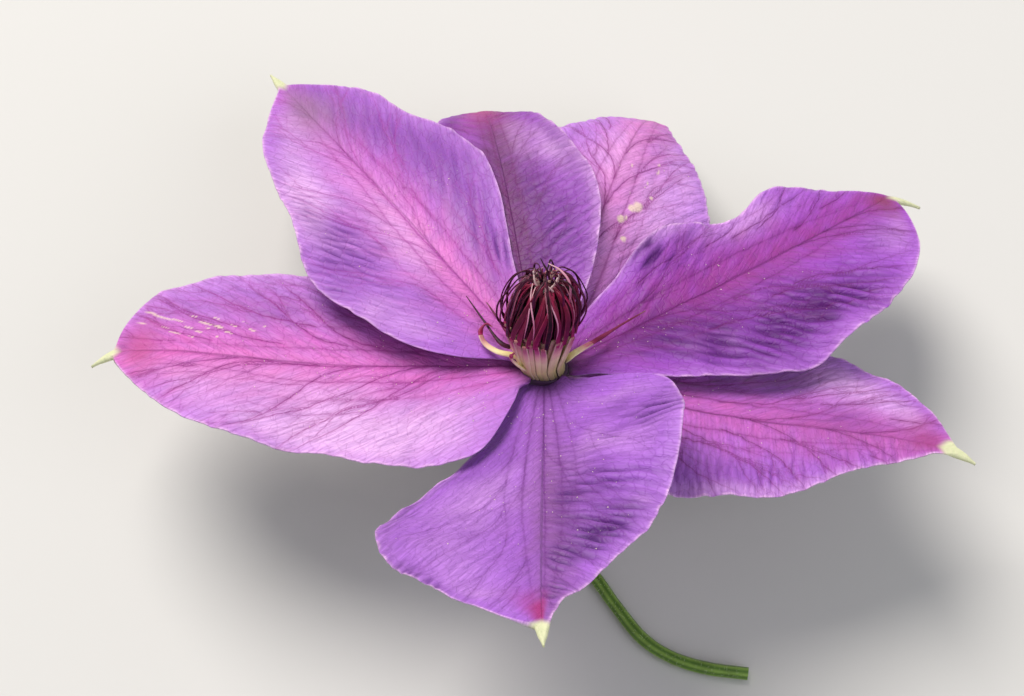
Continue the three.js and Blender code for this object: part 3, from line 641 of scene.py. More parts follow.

    # What the finish reads. tint: pink bar, deep troughs and patches, and pale places; the deep ones are
    # partly painted shade and the pale ones partly painted light. veins and ribs: the way to the nearest
    # line, the same without a sign, and how strongly it shows. ending: spur, stain before it and bleached
    # nicks. ground: underside, claw and mottle. lie: along and across the pleats, and the painted shade
    # that gathers at the foot.
    pinkness = through(look["pink"], s)[:, None]
    halfBar, barAside = look["bar"]
    barWidth = halfBar * (0.35 + 0.65 * np.abs(np.sin(np.pi * s ** 0.8)) ** 0.7)[:, None]
    fray = 1 + 0.2 * np.tanh(waves(run, step * 2, 9, rng))
    frayed = np.abs(across - barAside * smooth(s / 0.4)[:, None]) * fray
    bar = pinkness * np.exp(-(frayed / barWidth) ** 1.9)
    pale = np.zeros_like(across)
    # pale patches are partly painted light and deep ones partly painted shade, over the tepal's own colour
    for place, middleColumn, reach, spread, strength in look["pales"]:
        spot = abs(strength) * patch(share + 0.02 * lumps, column, place, middleColumn, reach, spread)
        if strength > 0:
            pale += spot
        else:
            deep += spot * (0.88 + 0.14 * crumple)
    fromEdge = (1 - out) * width
    hem = (0.75 + 0.3 * fringe) * np.exp(-(fromEdge / 0.36) ** 2) * smooth((s - 0.02) / 0.16)[:, None]
    pale = np.maximum(pale, 0.22 * edge * settle) + hem
    flushAt, flushLong, flushWide, flushed = look["flush"]
    flush = flushed * patch(share + 0.004 * crumple, column, flushAt, 0, flushLong, flushWide)
    scars = np.zeros_like(across)
    for place, middleAcross, long, wide in look["scars"]:
        bend = 0.3 * waves(along / 2, across, 2.0, rng)
        slant = middleAcross - look["slant"] * (along - place)
        away = np.hypot((along - place) / long, (across - slant + 0.4 * wide * bend) / wide)
        scars = np.maximum(scars, smooth((1.1 + 0.4 * bend - away) / 0.5))
    fromAxis = np.hypot(tepalMake["start"] + along, across)
    claw = (1 - smooth((fromAxis - 4.8) / 2.2)) * smooth((out - 0.45) / 0.4)
    # painted shade round the claw's foot, next to the boss
    well = np.exp(-(np.maximum(fromAxis - 4.2, 0) / 2.4) ** 2)
    lowSide = np.zeros_like(across)
    mottle = 0.5 + 0.2 * (waves(run * 0.5, step, 3.4, rng) + 0.6 * waves(run * 0.5, step, 1.7, rng))
    faint = np.clip(1 - 0.5 * edge, 0, 1) * settle

    # three fields for every point of the upper side and then of the underside. low is what the first
    # one says below.
    def both(*fields, low=None):
        field = np.stack(fields, -1)
        fieldLow = field[::2, ::2].copy()
        if low is not None:
            fieldLow[..., 0] = low
        return np.concatenate([field.reshape(-1, 3), fieldLow.reshape(-1, 3)])

    values = {
        "tint": both(bar, np.clip(deep, 0, 1.2), np.clip(pale, 0, 1.2)),
        "veins": both(veinWay + tremble, veinGap, veinStrength * look["drawn"] * faint),
        "ribs": both(ribWay + tremble, ribGap, ribStrength * close),
        "ending": both(spur, flush, scars),
        "ground": both(lowSide, claw, mottle, low=1.0),
        "lie": both(run + 0.25 * waves(along, across, 14, rng), step, well),
    }
    flatUv = np.stack([along / 80, 0.5 + across / 80], -1)
    flatUv = np.concatenate([flatUv.reshape(-1, 2), flatUv[::2, ::2].reshape(-1, 2)])
    return makePiece(name + "_blade", points, [above, below, strip], name,
                     tepalFinish(name + "_petal", look), values, flatUv)


petalFinish = {
    "pale": "#ebbaf0", "spur": "#d3dbaa", "spurEnd": "#e9e7c4", "scar": "#f2dcc4", "claw": "#8f9a72",
    "under": "#cdb4d6", "underBar": "#a9b98e",
    "lines": {"veins": (0.19, 0.9), "ribs": (0.3, 1.1)},  # half widths of each line and of its shadow
    # the colour of the painted shade round the claw's foot
    "well": "#2c1038",
    # how far each layer shows, from 0 to 1
    "netShows": 0.14, "veinShows": 0.78, "ribShows": 0.65, "clawShows": 0.25, "scarShows": 0.8,
    "footShadeShows": 0.75, "underBarShows": 0.85, "underVeinShows": 0.4,
    "cell": 1.3,  # the net of the smallest veins, drawn a little coarser than its real 0.5 to 1 mm
    "streak": (5.0, 0.42),  # long and short side of the satin streaks
    "sheen": "#f0c8ff",
    "lightThrough": 0.15,  # the share of the light that comes through the sheet
}


# Living petal: thin-walled cells full of coloured sap under a waxy skin. The eye gets a soft satin sheen
# from the skin, some light through the sheet, and colour that is deeper along the veins. A line is drawn
# where its signed distance is less than its width and the plain distance agrees that it is near.
def tepalFinish(name, look):
    material, tree = newMaterial(name)
    held = {}
    for key in ("tint", "veins", "ribs", "ending", "ground"):
        read = addNode(tree, "Attribute", output=1, attribute_name=key)
        held[key] = addNode(tree, "SeparateXYZ", {0: read}).node.outputs
    lie = addNode(tree, "Attribute", output=1, attribute_name="lie")

    # satin streaks laid along the pleats, and the net of smallest veins, drawn out the same way
    longSide, shortSide = petalFinish["streak"]
    drawnOut = addNode(tree, "VectorMath", {0: lie, 1: (1 / longSide, 1 / shortSide, 0.0)},
                       operation="MULTIPLY")
    streak = addNode(tree, "TexNoise", {"Vector": drawnOut, "Scale": 1.0, "Detail": 3.0, "Roughness": 0.62},
                     noise_dimensions="2D")
    stray = addNode(tree, "TexNoise", {"Vector": lie, "Scale": 0.8, "Detail": 1.0}, output=1,
                    noise_dimensions="2D")
    astray = addNode(tree, "VectorMath", {0: stray, 1: (1.3, 1.3, 0.0)}, operation="MULTIPLY")
    cells = addNode(tree, "VectorMath", {0: lie, 1: astray}, operation="ADD")
    cells = addNode(tree, "VectorMath", {0: cells, 1: (0.6, 1.0, 0.0)}, operation="MULTIPLY")
    net = addNode(tree, "TexVoronoi", {"Vector": cells, "Scale": 1 / petalFinish["cell"]},
                  feature="DISTANCE_TO_EDGE", voronoi_dimensions="2D")
    # a net line is 1 on the edge between two cells and gone 0.13 of a cell from it
    netLine = addNode(tree, "MapRange", {0: net, 1: 0.0, 2: 0.13, 3: 1.0, 4: 0.0},
                      interpolation_type="SMOOTHSTEP")

    # the lines of the veins and ribs, and the darker skin that goes with them
    drawn = []
    for key, (lineWidth, haloWidth) in petalFinish["lines"].items():
        way, gap, strength = held[key]
        near = addNode(tree, "Math", {0: way}, operation="ABSOLUTE")
        thin = addNode(tree, "MapRange", {0: near, 1: 0.02, 2: lineWidth, 3: 1.0, 4: 0.0},
                       interpolation_type="SMOOTHSTEP")
        real = addNode(tree, "MapRange", {0: gap, 1: 0.3, 2: 0.65, 3: 1.0, 4: 0.0},
                       interpolation_type="SMOOTHSTEP")
        thin = addNode(tree, "Math", {0: thin, 1: real}, operation="MULTIPLY")
        thin = addNode(tree, "Math", {0: thin, 1: strength}, operation="MULTIPLY", use_clamp=True)
        halo = addNode(tree, "MapRange", {0: gap, 1: 0.0, 2: haloWidth, 3: 0.34, 4: 0.0},
                       interpolation_type="SMOOTHSTEP")
        halo = addNode(tree, "Math", {0: halo, 1: strength}, operation="MULTIPLY")
        drawn.append((thin, halo))
    (veinThin, veinHalo), (ribThin, ribHalo) = drawn

    bar, deep, pale = held["tint"]
    lowSide, claw, mottle = held["ground"]
    spur, flush, scar = held["ending"]
    # each layer's share, made uneven by the streaks and the mottle, and then its colour, from the skin up
    swing = addNode(tree, "Math", {0: streak, 1: 1.5, 2: -0.25}, operation="MULTIPLY_ADD")
    even = addNode(tree, "Math", {0: mottle, 1: 0.35, 2: 0.78}, operation="MULTIPLY_ADD")
    pinked = addNode(tree, "Math", {0: bar, 1: even}, operation="MULTIPLY")
    lit = addNode(tree, "Math", {0: streak, 1: 0.7, 2: 0.35}, operation="MULTIPLY_ADD")
    lit = addNode(tree, "Math", {0: pale, 1: lit}, operation="MULTIPLY")
    sunk = addNode(tree, "Math", {0: swing, 1: 0.5, 2: 0.55}, operation="MULTIPLY_ADD")
    sunk = addNode(tree, "Math", {0: deep, 1: sunk}, operation="MULTIPLY")
    netted = addNode(tree, "Math", {0: netLine, 1: petalFinish["netShows"]}, operation="MULTIPLY")
    veined = addNode(tree, "Math", {0: veinThin, 1: petalFinish["veinShows"]}, operation="MULTIPLY")
    ribbed = addNode(tree, "Math", {0: ribThin, 1: petalFinish["ribShows"]}, operation="MULTIPLY")
    colour = linear(look["field"])
    layers = [(pinked, look["barColour"]), (lit, petalFinish["pale"]), (sunk, look["deep"])]
    layers += [(factor, look["veinColour"]) for factor in (netted, veinHalo, ribHalo, veined, ribbed)]
    for factor, code in layers:
        colour = addNode(tree, "Mix", {0: factor, 6: colour, 7: linear(code)}, output=2, data_type="RGBA")
    # painted light and shade along the satin streaks, which stand up as ridges: the colour times 0.8 to 1.2
    shade = addNode(tree, "Math", {0: streak, 1: 0.72, 2: 0.64}, operation="MULTIPLY_ADD")
    colour = addNode(tree, "VectorMath", {0: colour, 3: shade}, operation="SCALE")
    clawed = addNode(tree, "Math", {0: claw, 1: petalFinish["clawShows"]}, operation="MULTIPLY")
    bleached = addNode(tree, "Math", {0: scar, 1: petalFinish["scarShows"]}, operation="MULTIPLY")
    # painted shade round the claw's foot
    shaded = addNode(tree, "SeparateXYZ", {0: lie}, output=2)
    shaded = addNode(tree, "Math", {0: shaded, 1: petalFinish["footShadeShows"]}, operation="MULTIPLY")
    layers = [(shaded, petalFinish["well"]), (clawed, petalFinish["claw"]), (flush, look["flushColour"]),
              (bleached, petalFinish["scar"])]
    for factor, code in layers:
        colour = addNode(tree, "Mix", {0: factor, 6: colour, 7: linear(code)}, output=2, data_type="RGBA")
    # the underside is paler, with a greenish bar along the ribs
    greened = addNode(tree, "Math", {0: bar, 1: petalFinish["underBarShows"]}, operation="MULTIPLY",
                      use_clamp=True)
    under, underBar = linear(petalFinish["under"]), linear(petalFinish["underBar"])
    back = addNode(tree, "Mix", {0: greened, 6: under, 7: underBar}, output=2, data_type="RGBA")
    traced = addNode(tree, "Math", {0: veinThin, 1: ribThin}, operation="MAXIMUM")
    traced = addNode(tree, "Math", {0: traced, 1: petalFinish["underVeinShows"]}, operation="MULTIPLY")
    back = addNode(tree, "Mix", {0: traced, 6: back, 7: linear(look["veinColour"])}, output=2,
                   data_type="RGBA")
    # the same painted light and shade of the streaks on the underside
    back = addNode(tree, "VectorMath", {0: back, 3: shade}, operation="SCALE")
    colour = addNode(tree, "Mix", {0: lowSide, 6: colour, 7: back}, output=2, data_type="RGBA")
    spurFoot, spurEnd = linear(petalFinish["spur"]), linear(petalFinish["spurEnd"])
    spurTone = addNode(tree, "Mix", {0: streak, 6: spurFoot, 7: spurEnd}, output=2, data_type="RGBA")
    colour = addNode(tree, "Mix", {0: spur, 6: colour, 7: spurTone}, output=2, data_type="RGBA")

    # streaks stand up, and the net and the veins lie in grooves
    relief = addNode(tree, "Math", {0: netLine, 1: -0.45, 2: streak}, operation="MULTIPLY_ADD")
    relief = addNode(tree, "Math", {0: veinThin, 1: -0.5, 2: relief}, operation="MULTIPLY_ADD")
    bump = addNode(tree, "Bump", {"Strength": 0.65, "Distance": 0.00018, "Height": relief})
    gloss = addNode(tree, "Math", {0: streak, 1: 0.2, 2: 0.36}, operation="MULTIPLY_ADD")
    skin = addNode(tree, "BsdfPrincipled", {
        "Base Color": colour, "Roughness": gloss, "IOR": 1.42, "Specular IOR Level": 0.34, "Normal": bump,
        "Sheen Weight": 0.07, "Sheen Roughness": 0.45, "Sheen Tint": linear(petalFinish["sheen"]),
    })
    glow = addNode(tree, "BsdfTranslucent", {"Color": colour, "Normal": bump})
    body = addNode(tree, "MixShader", {0: petalFinish["lightThrough"], 1: skin, 2: glow})
    addNode(tree, "OutputMaterial", {"Surface": body})
    return material


for tepalName, tepalLook in tepals.items():
    makeTepal(tepalName, tepalLook)


# Flat-oval sections carried along many paths at once: each point is path + across · width · cos(a)
# + outward · depth · sin(a), the outer face sunk in the middle by the groove, the section turned by the
# twist times the share, and a point closing each end. paths is strands x rings x 3. Gives points, quads,
# triangles and where each point is: share of the length, across from -1 to 1, and its strand's own tone.
def straps(paths, across, widths, depths, groove, tone, twist=None, sides=10):
    count, rings = paths.shape[:2]
    way = np.gradient(paths, axis=1)
    way /= np.linalg.norm(way, axis=-1, keepdims=True)
    broad = across[:, None] - (across[:, None] * way).sum(-1, keepdims=True) * way
    broad /= np.linalg.norm(broad, axis=-1, keepdims=True)
    outward = np.cross(broad, way)
    if twist is not None:
        by = (np.radians(twist)[:, None] * np.linspace(0, 1, rings) ** 1.3)[..., None]
        turned = broad * np.cos(by) + outward * np.sin(by)
        broad, outward = turned, outward * np.cos(by) - broad * np.sin(by)
    angle = 2 * np.pi * np.arange(sides) / sides
    x, y = np.cos(angle), np.sin(angle)
    y = np.where(y > 0, y * (1 - groove * np.exp(-(x / 0.45) ** 2)), y)
    aside = broad[:, :, None] * (widths[..., None] * x)[..., None]
    raised = outward[:, :, None] * (depths[..., None] * y)[..., None]
    body = paths[:, :, None] + aside + raised
    foot = paths[:, 0] - way[:, 0] * depths[:, :1] * 0.4
    tip = paths[:, -1] + way[:, -1] * depths[:, -1:] * 0.8
    points = np.concatenate([body.reshape(count, -1, 3), np.stack([foot, tip], 1)], 1)
    index = np.arange(rings * sides).reshape(rings, sides)
    nextSide = np.roll(index, -1, 1)
    quads = np.stack([index[:-1], index[1:], nextSide[1:], nextSide[:-1]], -1).reshape(-1, 4)
    low = np.stack([np.full(sides, rings * sides), index[0], nextSide[0]], -1)
    high = np.stack([np.full(sides, rings * sides + 1), nextSide[-1], index[-1]], -1)
    offset = (np.arange(count) * (rings * sides + 2))[:, None, None]
    share = np.concatenate([np.repeat(np.linspace(0, 1, rings), sides), [0, 1]])
    place = np.concatenate([np.tile(x, rings), [0, 0]])
    own = np.repeat(tone[:, None], len(share), 1)
    where = np.stack([np.tile(share, (count, 1)), np.tile(place, (count, 1)), own], -1).reshape(-1, 3)
    triangles = (np.concatenate([low, high]) + offset).reshape(-1, 3)
    return points.reshape(-1, 3), (quads + offset).reshape(-1, 4), triangles, where


# Puts several parts made by straps or turnedBody into one set of arrays.
def joined(parts):
    starts = np.cumsum([0] + [len(part[0]) for part in parts])
    points = np.concatenate([part[0] for part in parts])
    quads = np.concatenate([part[1] + start for part, start in zip(parts, starts)])
    triangles = np.concatenate([part[2] + start for part, start in zip(parts, starts)])
    return points, quads, triangles, np.concatenate([part[3] for part in parts])


# A body turned about +Z: radius · (cos, sin) and height from the profile, smoothed by Catmull-Rom.
def turnedBody(profile, steps, sides, tone=0.5):
    share = np.linspace(0, 1, steps)
    along = through(profile, share)
    angle = 2 * np.pi * np.arange(sides) / sides
    radius = np.maximum(along[:, :1], 0.02)
    body = np.stack([radius * np.cos(angle), radius * np.sin(angle), np.repeat(along[:, 1:], sides, 1)], -1)
    points = np.concatenate([body.reshape(-1, 3), [[0, 0, along[0, 1]], [0, 0, along[-1, 1]]]])
    index = np.arange(steps * sides).reshape(steps, sides)
    nextSide = np.roll(index, -1, 1)
    quads = np.stack([index[:-1], nextSide[:-1], nextSide[1:], index[1:]], -1).reshape(-1, 4)
    low = np.stack([np.full(sides, steps * sides), nextSide[0], index[0]], -1)
    high = np.stack([np.full(sides, steps * sides + 1), index[-1], nextSide[-1]], -1)
    shares = np.append(np.repeat(share, sides), [0, 1])
    where = np.stack([shares, np.zeros(len(points)), np.full(len(points), tone)], -1)
    return points, quads, np.concatenate([low, high]), where


# The boss from outside in. Each ring: how many, radius and height from foot to tip, half widths and half
# depths along the strand, the groove, how far each may stand off its even place, lean aside, bulge and
# twist, and its tones, 0 for the darkest. The inner rings' low tones are painted shade behind the outer
# ring.
boss = {
    "seed": 71,
    "outerFilaments": {
        "count": 27, "profile": [(3.4, 1.5), (4.0, 4.6), (5.0, 8.0), (6.1, 11.7)],
        "widths": [0.36, 0.48, 0.55, 0.44], "depths": [0.28, 0.34, 0.34, 0.26], "groove": 0.35,
        "scatter": 0.35, "lean": 6, "bulge": 0.03, "twist": 14, "tones": (0.5, 1.25), "turn": 0.0,
        "uneven": 1.8,
    },
    "innerFilaments": {
        "count": 19, "profile": [(2.8, 1.6), (3.1, 4.8), (4.1, 8.0), (5.2, 11.4)],
        "widths": [0.36, 0.46, 0.52, 0.42], "depths": [0.26, 0.3, 0.3, 0.26], "groove": 0.3, "scatter": 0.3,
        "lean": 5, "bulge": 0.03, "twist": 12, "tones": (0.0, 0.3), "turn": 0.5, "uneven": 0.8,
    },
    "outerAnthers": {
        "count": 28,
        "profile": [(6.1, 10.9), (6.0, 13.0), (5.5, 16.0), (4.7, 18.6), (3.3, 20.4), (1.7, 20.9)],
        "widths": [0.32, 0.46, 0.44, 0.36, 0.27, 0.1], "depths": [0.22, 0.3, 0.28, 0.24, 0.18, 0.08],
        "groove": 0.65, "scatter": 1.5, "lean": 48, "bulge": 0.08, "twist": 90, "tones": (-0.25, 1.0),
        "turn": 0.0, "uneven": 2.2,
    },
    "innerAnthers": {
        "count": 20,
        "profile": [(5.1, 10.9), (5.1, 13.2), (4.7, 16.2), (3.8, 18.9), (2.4, 20.3), (1.4, 20.6)],
        "widths": [0.36, 0.52, 0.5, 0.4, 0.28, 0.1], "depths": [0.2, 0.27, 0.26, 0.22, 0.17, 0.08],
        "groove": 0.6, "scatter": 0.8, "lean": 24, "bulge": 0.05, "twist": 50, "tones": (0.0, 0.5),
        "turn": 0.5, "uneven": 0.9,
    },
    "crown": {
        "count": 8, "profile": [(4.6, 18.2), (4.2, 20.4), (3.0, 21.8), (1.7, 22.3), (0.9, 21.6)],
        "widths": [0.24, 0.2, 0.15, 0.1], "depths": [0.18, 0.15, 0.12, 0.08], "groove": 0.1, "scatter": 1.0,
        "lean": 60, "bulge": 0.2, "twist": 30, "tones": (0.0, 0.8), "turn": 0.3, "uneven": 1.2,
    },
    "seams": {
        "count": 16, "profile": [(6.05, 12.4), (6.15, 14.8), (5.6, 17.2), (4.4, 19.4), (2.8, 21.2)],
        "widths": [0.05, 0.1, 0.13, 0.12, 0.06], "depths": [0.05, 0.08, 0.09, 0.08, 0.05], "groove": 0.0,
        "scatter": 1.0, "lean": 40, "bulge": 0.05, "twist": 30, "tones": (0.1, 1.0), "turn": 0.2,
        "uneven": 1.4,
    },
    "styles": {
        "count": 13, "profile": [(0.8, 17.6), (1.4, 19.4), (2.3, 20.9), (2.2, 22.0)],
        "widths": [0.24, 0.22, 0.17, 0.08], "depths": [0.2, 0.18, 0.14, 0.07], "groove": 0.1,
        "scatter": 1.0, "lean": 50, "bulge": 0.2, "twist": 20, "tones": (0.4, 1.0), "turn": 0.0,
        "uneven": 1.6,
    },
    # a near-black body inside the dome: painted shade that shows in the gaps between the anthers
    "shadeCore": [(2.2, 10.6), (4.3, 11.0), (4.4, 13.5), (4.0, 16.2), (3.0, 18.4), (1.4, 19.5), (0.3, 19.7)],
    "leanAside": (-0.8, 17.0),  # the filaments lean this far to -X, and the dome is upright at this height
    "column": [(1.9, 1.6), (2.1, 6.0), (2.1, 12.0), (1.8, 16.5), (0.9, 18.0), (0.1, 18.2)],
    # wires that loop out of the dome: the angle of each on the flower's axis and how far out it swings
    "loops": [(155, 6.9), (165, 7.6), (174, 7.2), (183, 8.0), (193, 7.6), (205, 6.9), (-30, 6.4),
              (-15, 7.0), (-3, 6.6), (9, 7.1), (24, 6.6), (72, 6.2), (108, 6.3)],
    # the second and third radii come from the reach
    "loopProfile": [(5.5, 11.3), (0, 13.0), (0, 16.2), (6.2, 19.6), (4.6, 21.8), (3.0, 22.2), (2.4, 21.3)],
    "loopWidths": [0.3, 0.23, 0.18, 0.16, 0.14, 0.08], "loopDepths": [0.2, 0.13, 0.07],
    # single strands: route, first and last share of it, half widths and half depths
    "spike": ([[0.6, 1.0, 20.4], [0.2, 1.4, 21.9], [-0.4, 1.7, 22.9], [-0.9, 1.9, 24.0]], 0, 1,
              [0.24, 0.2, 0.08], [0.18, 0.14, 0.07]),
    "arch": ([[4.0, -2.4, 18.2], [3.9, -1.3, 21.3], [2.4, 0.2, 22.8], [0.4, 1.0, 23.6]], 0, 1,
             [0.2, 0.22, 0.18, 0.08], [0.16, 0.16, 0.13, 0.07]),
    # half widths and half depths of a fallen stamen's two parts
    "fallenFilament": ([0.38, 0.46, 0.44, 0.36], [0.26, 0.3, 0.28, 0.28]),
    "fallenAnther": ([0.44, 0.46, 0.27, 0.21, 0.16, 0.08], [0.3, 0.32, 0.2, 0.16, 0.12, 0.07]),
}

# Stamens that have fallen away from the boss: where the filament ends, how pink it is, how broad, and
# the route from foot to tip.
fallenStamens = [
    (0.44, 0.45, 1.5,
     [[3.3, -0.2, 3.5], [5.2, 0.6, 4.8], [8.9, 3.8, 4.9], [13.2, 7.4, 5.3], [17.4, 10.4, 5.9]]),
    (0.36, 0.0, 1.1,
     [[-3.3, 0.3, 3.5], [-4.9, 0.4, 5.6], [-7.6, 1, 6.6], [-10.4, 5.5, 7.6], [-13.5, 10.5, 9.1]]),
    (0.5, 0.35, 1.1,
     [[-3.2, 0.8, 3.5], [-4.7, 1.5, 6], [-7.2, 4.6, 7.4], [-10, 8.8, 9.1]]),
    (0.62, 1.0, 1.3,
     [[-3.3, -0.6, 3.5], [-5.2, -0.8, 5.2], [-8, -0.6, 5.9], [-10.2, 1.0, 6.4], [-11, 2.8, 7.4],
      [-10.1, 4.2, 8.1], [-9, 3.9, 7.7]]),
    (0.72, 0.9, 1.2,
     [[-2.6, -2.4, 3], [-4.6, -3.6, 5.4], [-5.8, -3.9, 7.3], [-5.2, -3.9, 8.6]]),
]

bossRandom = np.random.default_rng(boss["seed"])


# How far the boss leans to -X at a height: least at the foot and the top, most between.
def leanAside(height):
    far, top = boss["leanAside"]
    return far * smooth((height - 1.0) / 3.0) * (1 - smooth((height - 11.0) / (top - 11.0)))


# Makes one ring of strands round the flower's axis: radius and height follow the profile, the angle leans
# aside with the square of the share, and the middle bulges with the sine of it.
def bundle(key, rings):
    ring, rng = boss[key], bossRandom
    count, share = ring["count"], np.linspace(0, 1, rings)
    along = through(ring["profile"], share)
    places = np.arange(count) + ring["turn"] + ring["scatter"] * rng.uniform(-0.5, 0.5, count)
    angle = 2 * np.pi * places / count
    at = angle[:, None] + np.radians(rng.uniform(-1, 1, count) * ring["lean"])[:, None] * share ** 2
    reach = along[:, 0] * (1 + ring["bulge"] * rng.uniform(-1, 1, count)[:, None] * np.sin(np.pi * share))
    height = along[:, 1] + ring["uneven"] * rng.uniform(-0.5, 0.5, count)[:, None] * share
    paths = np.stack([reach * np.cos(at) + leanAside(height), reach * np.sin(at), height], -1)
    across = np.stack([-np.sin(angle), np.cos(angle), 0 * angle], -1)
    size = rng.uniform(0.74, 1.22, (count, 1))
    widths, depths = through(ring["widths"], share) * size, through(ring["depths"], share) * size
    tone, twist = rng.uniform(*ring["tones"], count), rng.uniform(-1, 1, count) * ring["twist"]
    return straps(paths, across, widths, depths, ring["groove"], tone, twist)


# Wires that leave the dome's foot, swing out to a reach of their own and curl over its top.
def loopingWires(rings):
    rng = bossRandom
    angles, reaches = np.array(boss["loops"]).T
    share = np.linspace(0, 1, rings)
    profile = np.array(boss["loopProfile"])
    paths = []
    for reach in reaches:
        radii = profile[:, 0].copy()
        radii[1:3] = reach * 0.93, reach
        radii[3:] *= 0.55 + 0.45 * reach / 7.9
        heights = profile[:, 1] + rng.uniform(-0.7, 0.7, len(profile)) * np.linspace(0, 1, len(profile))
        paths.append(through(np.stack([radii, heights], 1), share))
    paths = np.array(paths)
    at = np.radians(angles)[:, None] + np.radians(rng.uniform(-26, 26, len(angles)))[:, None] * share ** 2
    aside = paths[..., 0] * np.cos(at) + leanAside(paths[..., 1])
    paths = np.stack([aside, paths[..., 0] * np.sin(at), paths[..., 1]], -1)
    across = np.stack([-np.sin(at[:, 0]), np.cos(at[:, 0]), 0 * angles], -1)
    size = rng.uniform(0.75, 1.3, (len(angles), 1))
    widths, depths = through(boss["loopWidths"], share) * size, through(boss["loopDepths"], share) * size
    tone, twist = rng.uniform(0.0, 0.8, len(angles)), rng.uniform(-90, 90, len(angles))
    return straps(paths, across, widths, depths, 0.1, tone, twist)


# One strand between two shares of a route's length, its broad side lying level.
def strandOf(route, first, last, widths, depths, groove, tone, rings=18):
    share = np.linspace(first, last, rings)
    path = through(route, share)[None]
    run = np.array(route[-1], float) - route[0]
    across = np.array([[-run[1], run[0], 0.0]]) / math.hypot(run[0], run[1])
    at = np.linspace(0, 1, rings)
    widths, depths = through(widths, at)[None], through(depths, at)[None]
    return straps(path, across, widths, depths, groove, np.array([tone]))


# Finishes of the strands: colours along them, the dark one, the colour of the edges (a painted
# highlight, and on the anthers also their own paler edges) and how far it shows, roughness, and how
# many times to the metre the mottling repeats.
strandLooks = {
    "filament_flesh": {
        "stops": [(0.0, "#3a2c22"), (0.08, "#7c7148"), (0.28, "#ded58c"), (0.58, "#f2e8ac"),
                  # the first stops darken towards the foot: painted shade where the filaments crowd onto
                  # the receptacle, over their own brownish foot
                  (0.74, "#e4b6a0"), (0.86, "#b85c7e"), (1.0, "#8e1c50")],
        "dark": "#cbb08e", "edge": ("#fbf3cf", 0.5), "roughness": 0.5, "coarse": 900.0,
    },
    "anther_skin": {
        "stops": [(0.0, "#b02468"), (0.1, "#8c144a"), (0.3, "#700e38"), (0.6, "#8c123e"), (0.85, "#a8244e"),
                  (1.0, "#b0546e")],
        "dark": "#150409", "edge": ("#c25078", 0.45), "roughness": 0.42, "coarse": 1400.0,
    },
    "anther_tip_skin": {
        "stops": [(0.0, "#861c50"), (0.25, "#5e1038"), (1.0, "#4a0f2c")],
        "dark": "#1c0612", "edge": ("#70284c", 0.3), "roughness": 0.38, "coarse": 1400.0,
    },
    "anther_seam_skin": {
        "stops": [(0.0, "#b4547e"), (0.5, "#d793ac"), (1.0, "#e6bcc2")],
        "dark": "#8c2450", "edge": ("#f0d4dc", 0.3), "roughness": 0.45, "coarse": 1400.0,
    },
    "fallen_anther_skin": {
        "stops": [(0.0, "#b02a66"), (0.1, "#861040"), (0.35, "#93305a"), (0.85, "#8a2c50"),
                  (1.0, "#b88478")],
        "dark": "#2a0a22", "edge": ("#a04468", 0.35), "roughness": 0.45, "coarse": 1400.0,
    },
    "style_flesh": {
        "stops": [(0.0, "#b88478"), (0.5, "#e6c0b4"), (1.0, "#f0d6d0")],
        "dark": "#a05a78", "edge": ("#f8e8e4", 0.4), "roughness": 0.5, "coarse": 1400.0,
    },
    "pollen_coat": {
        "stops": [(0.0, "#f6ead2"), (1.0, "#f6ead2")],
        "dark": "#dcb9c8", "edge": ("#ffffff", 0.0), "roughness": 0.6, "coarse": 2000.0,
    },
    "stalk_down": {
        "stops": [(0.0, "#c9d8a8"), (1.0, "#e8edd6")],
        "dark": "#a9bf7c", "edge": ("#e8edd6", 0.0), "roughness": 0.6, "coarse": 900.0,
    },
}


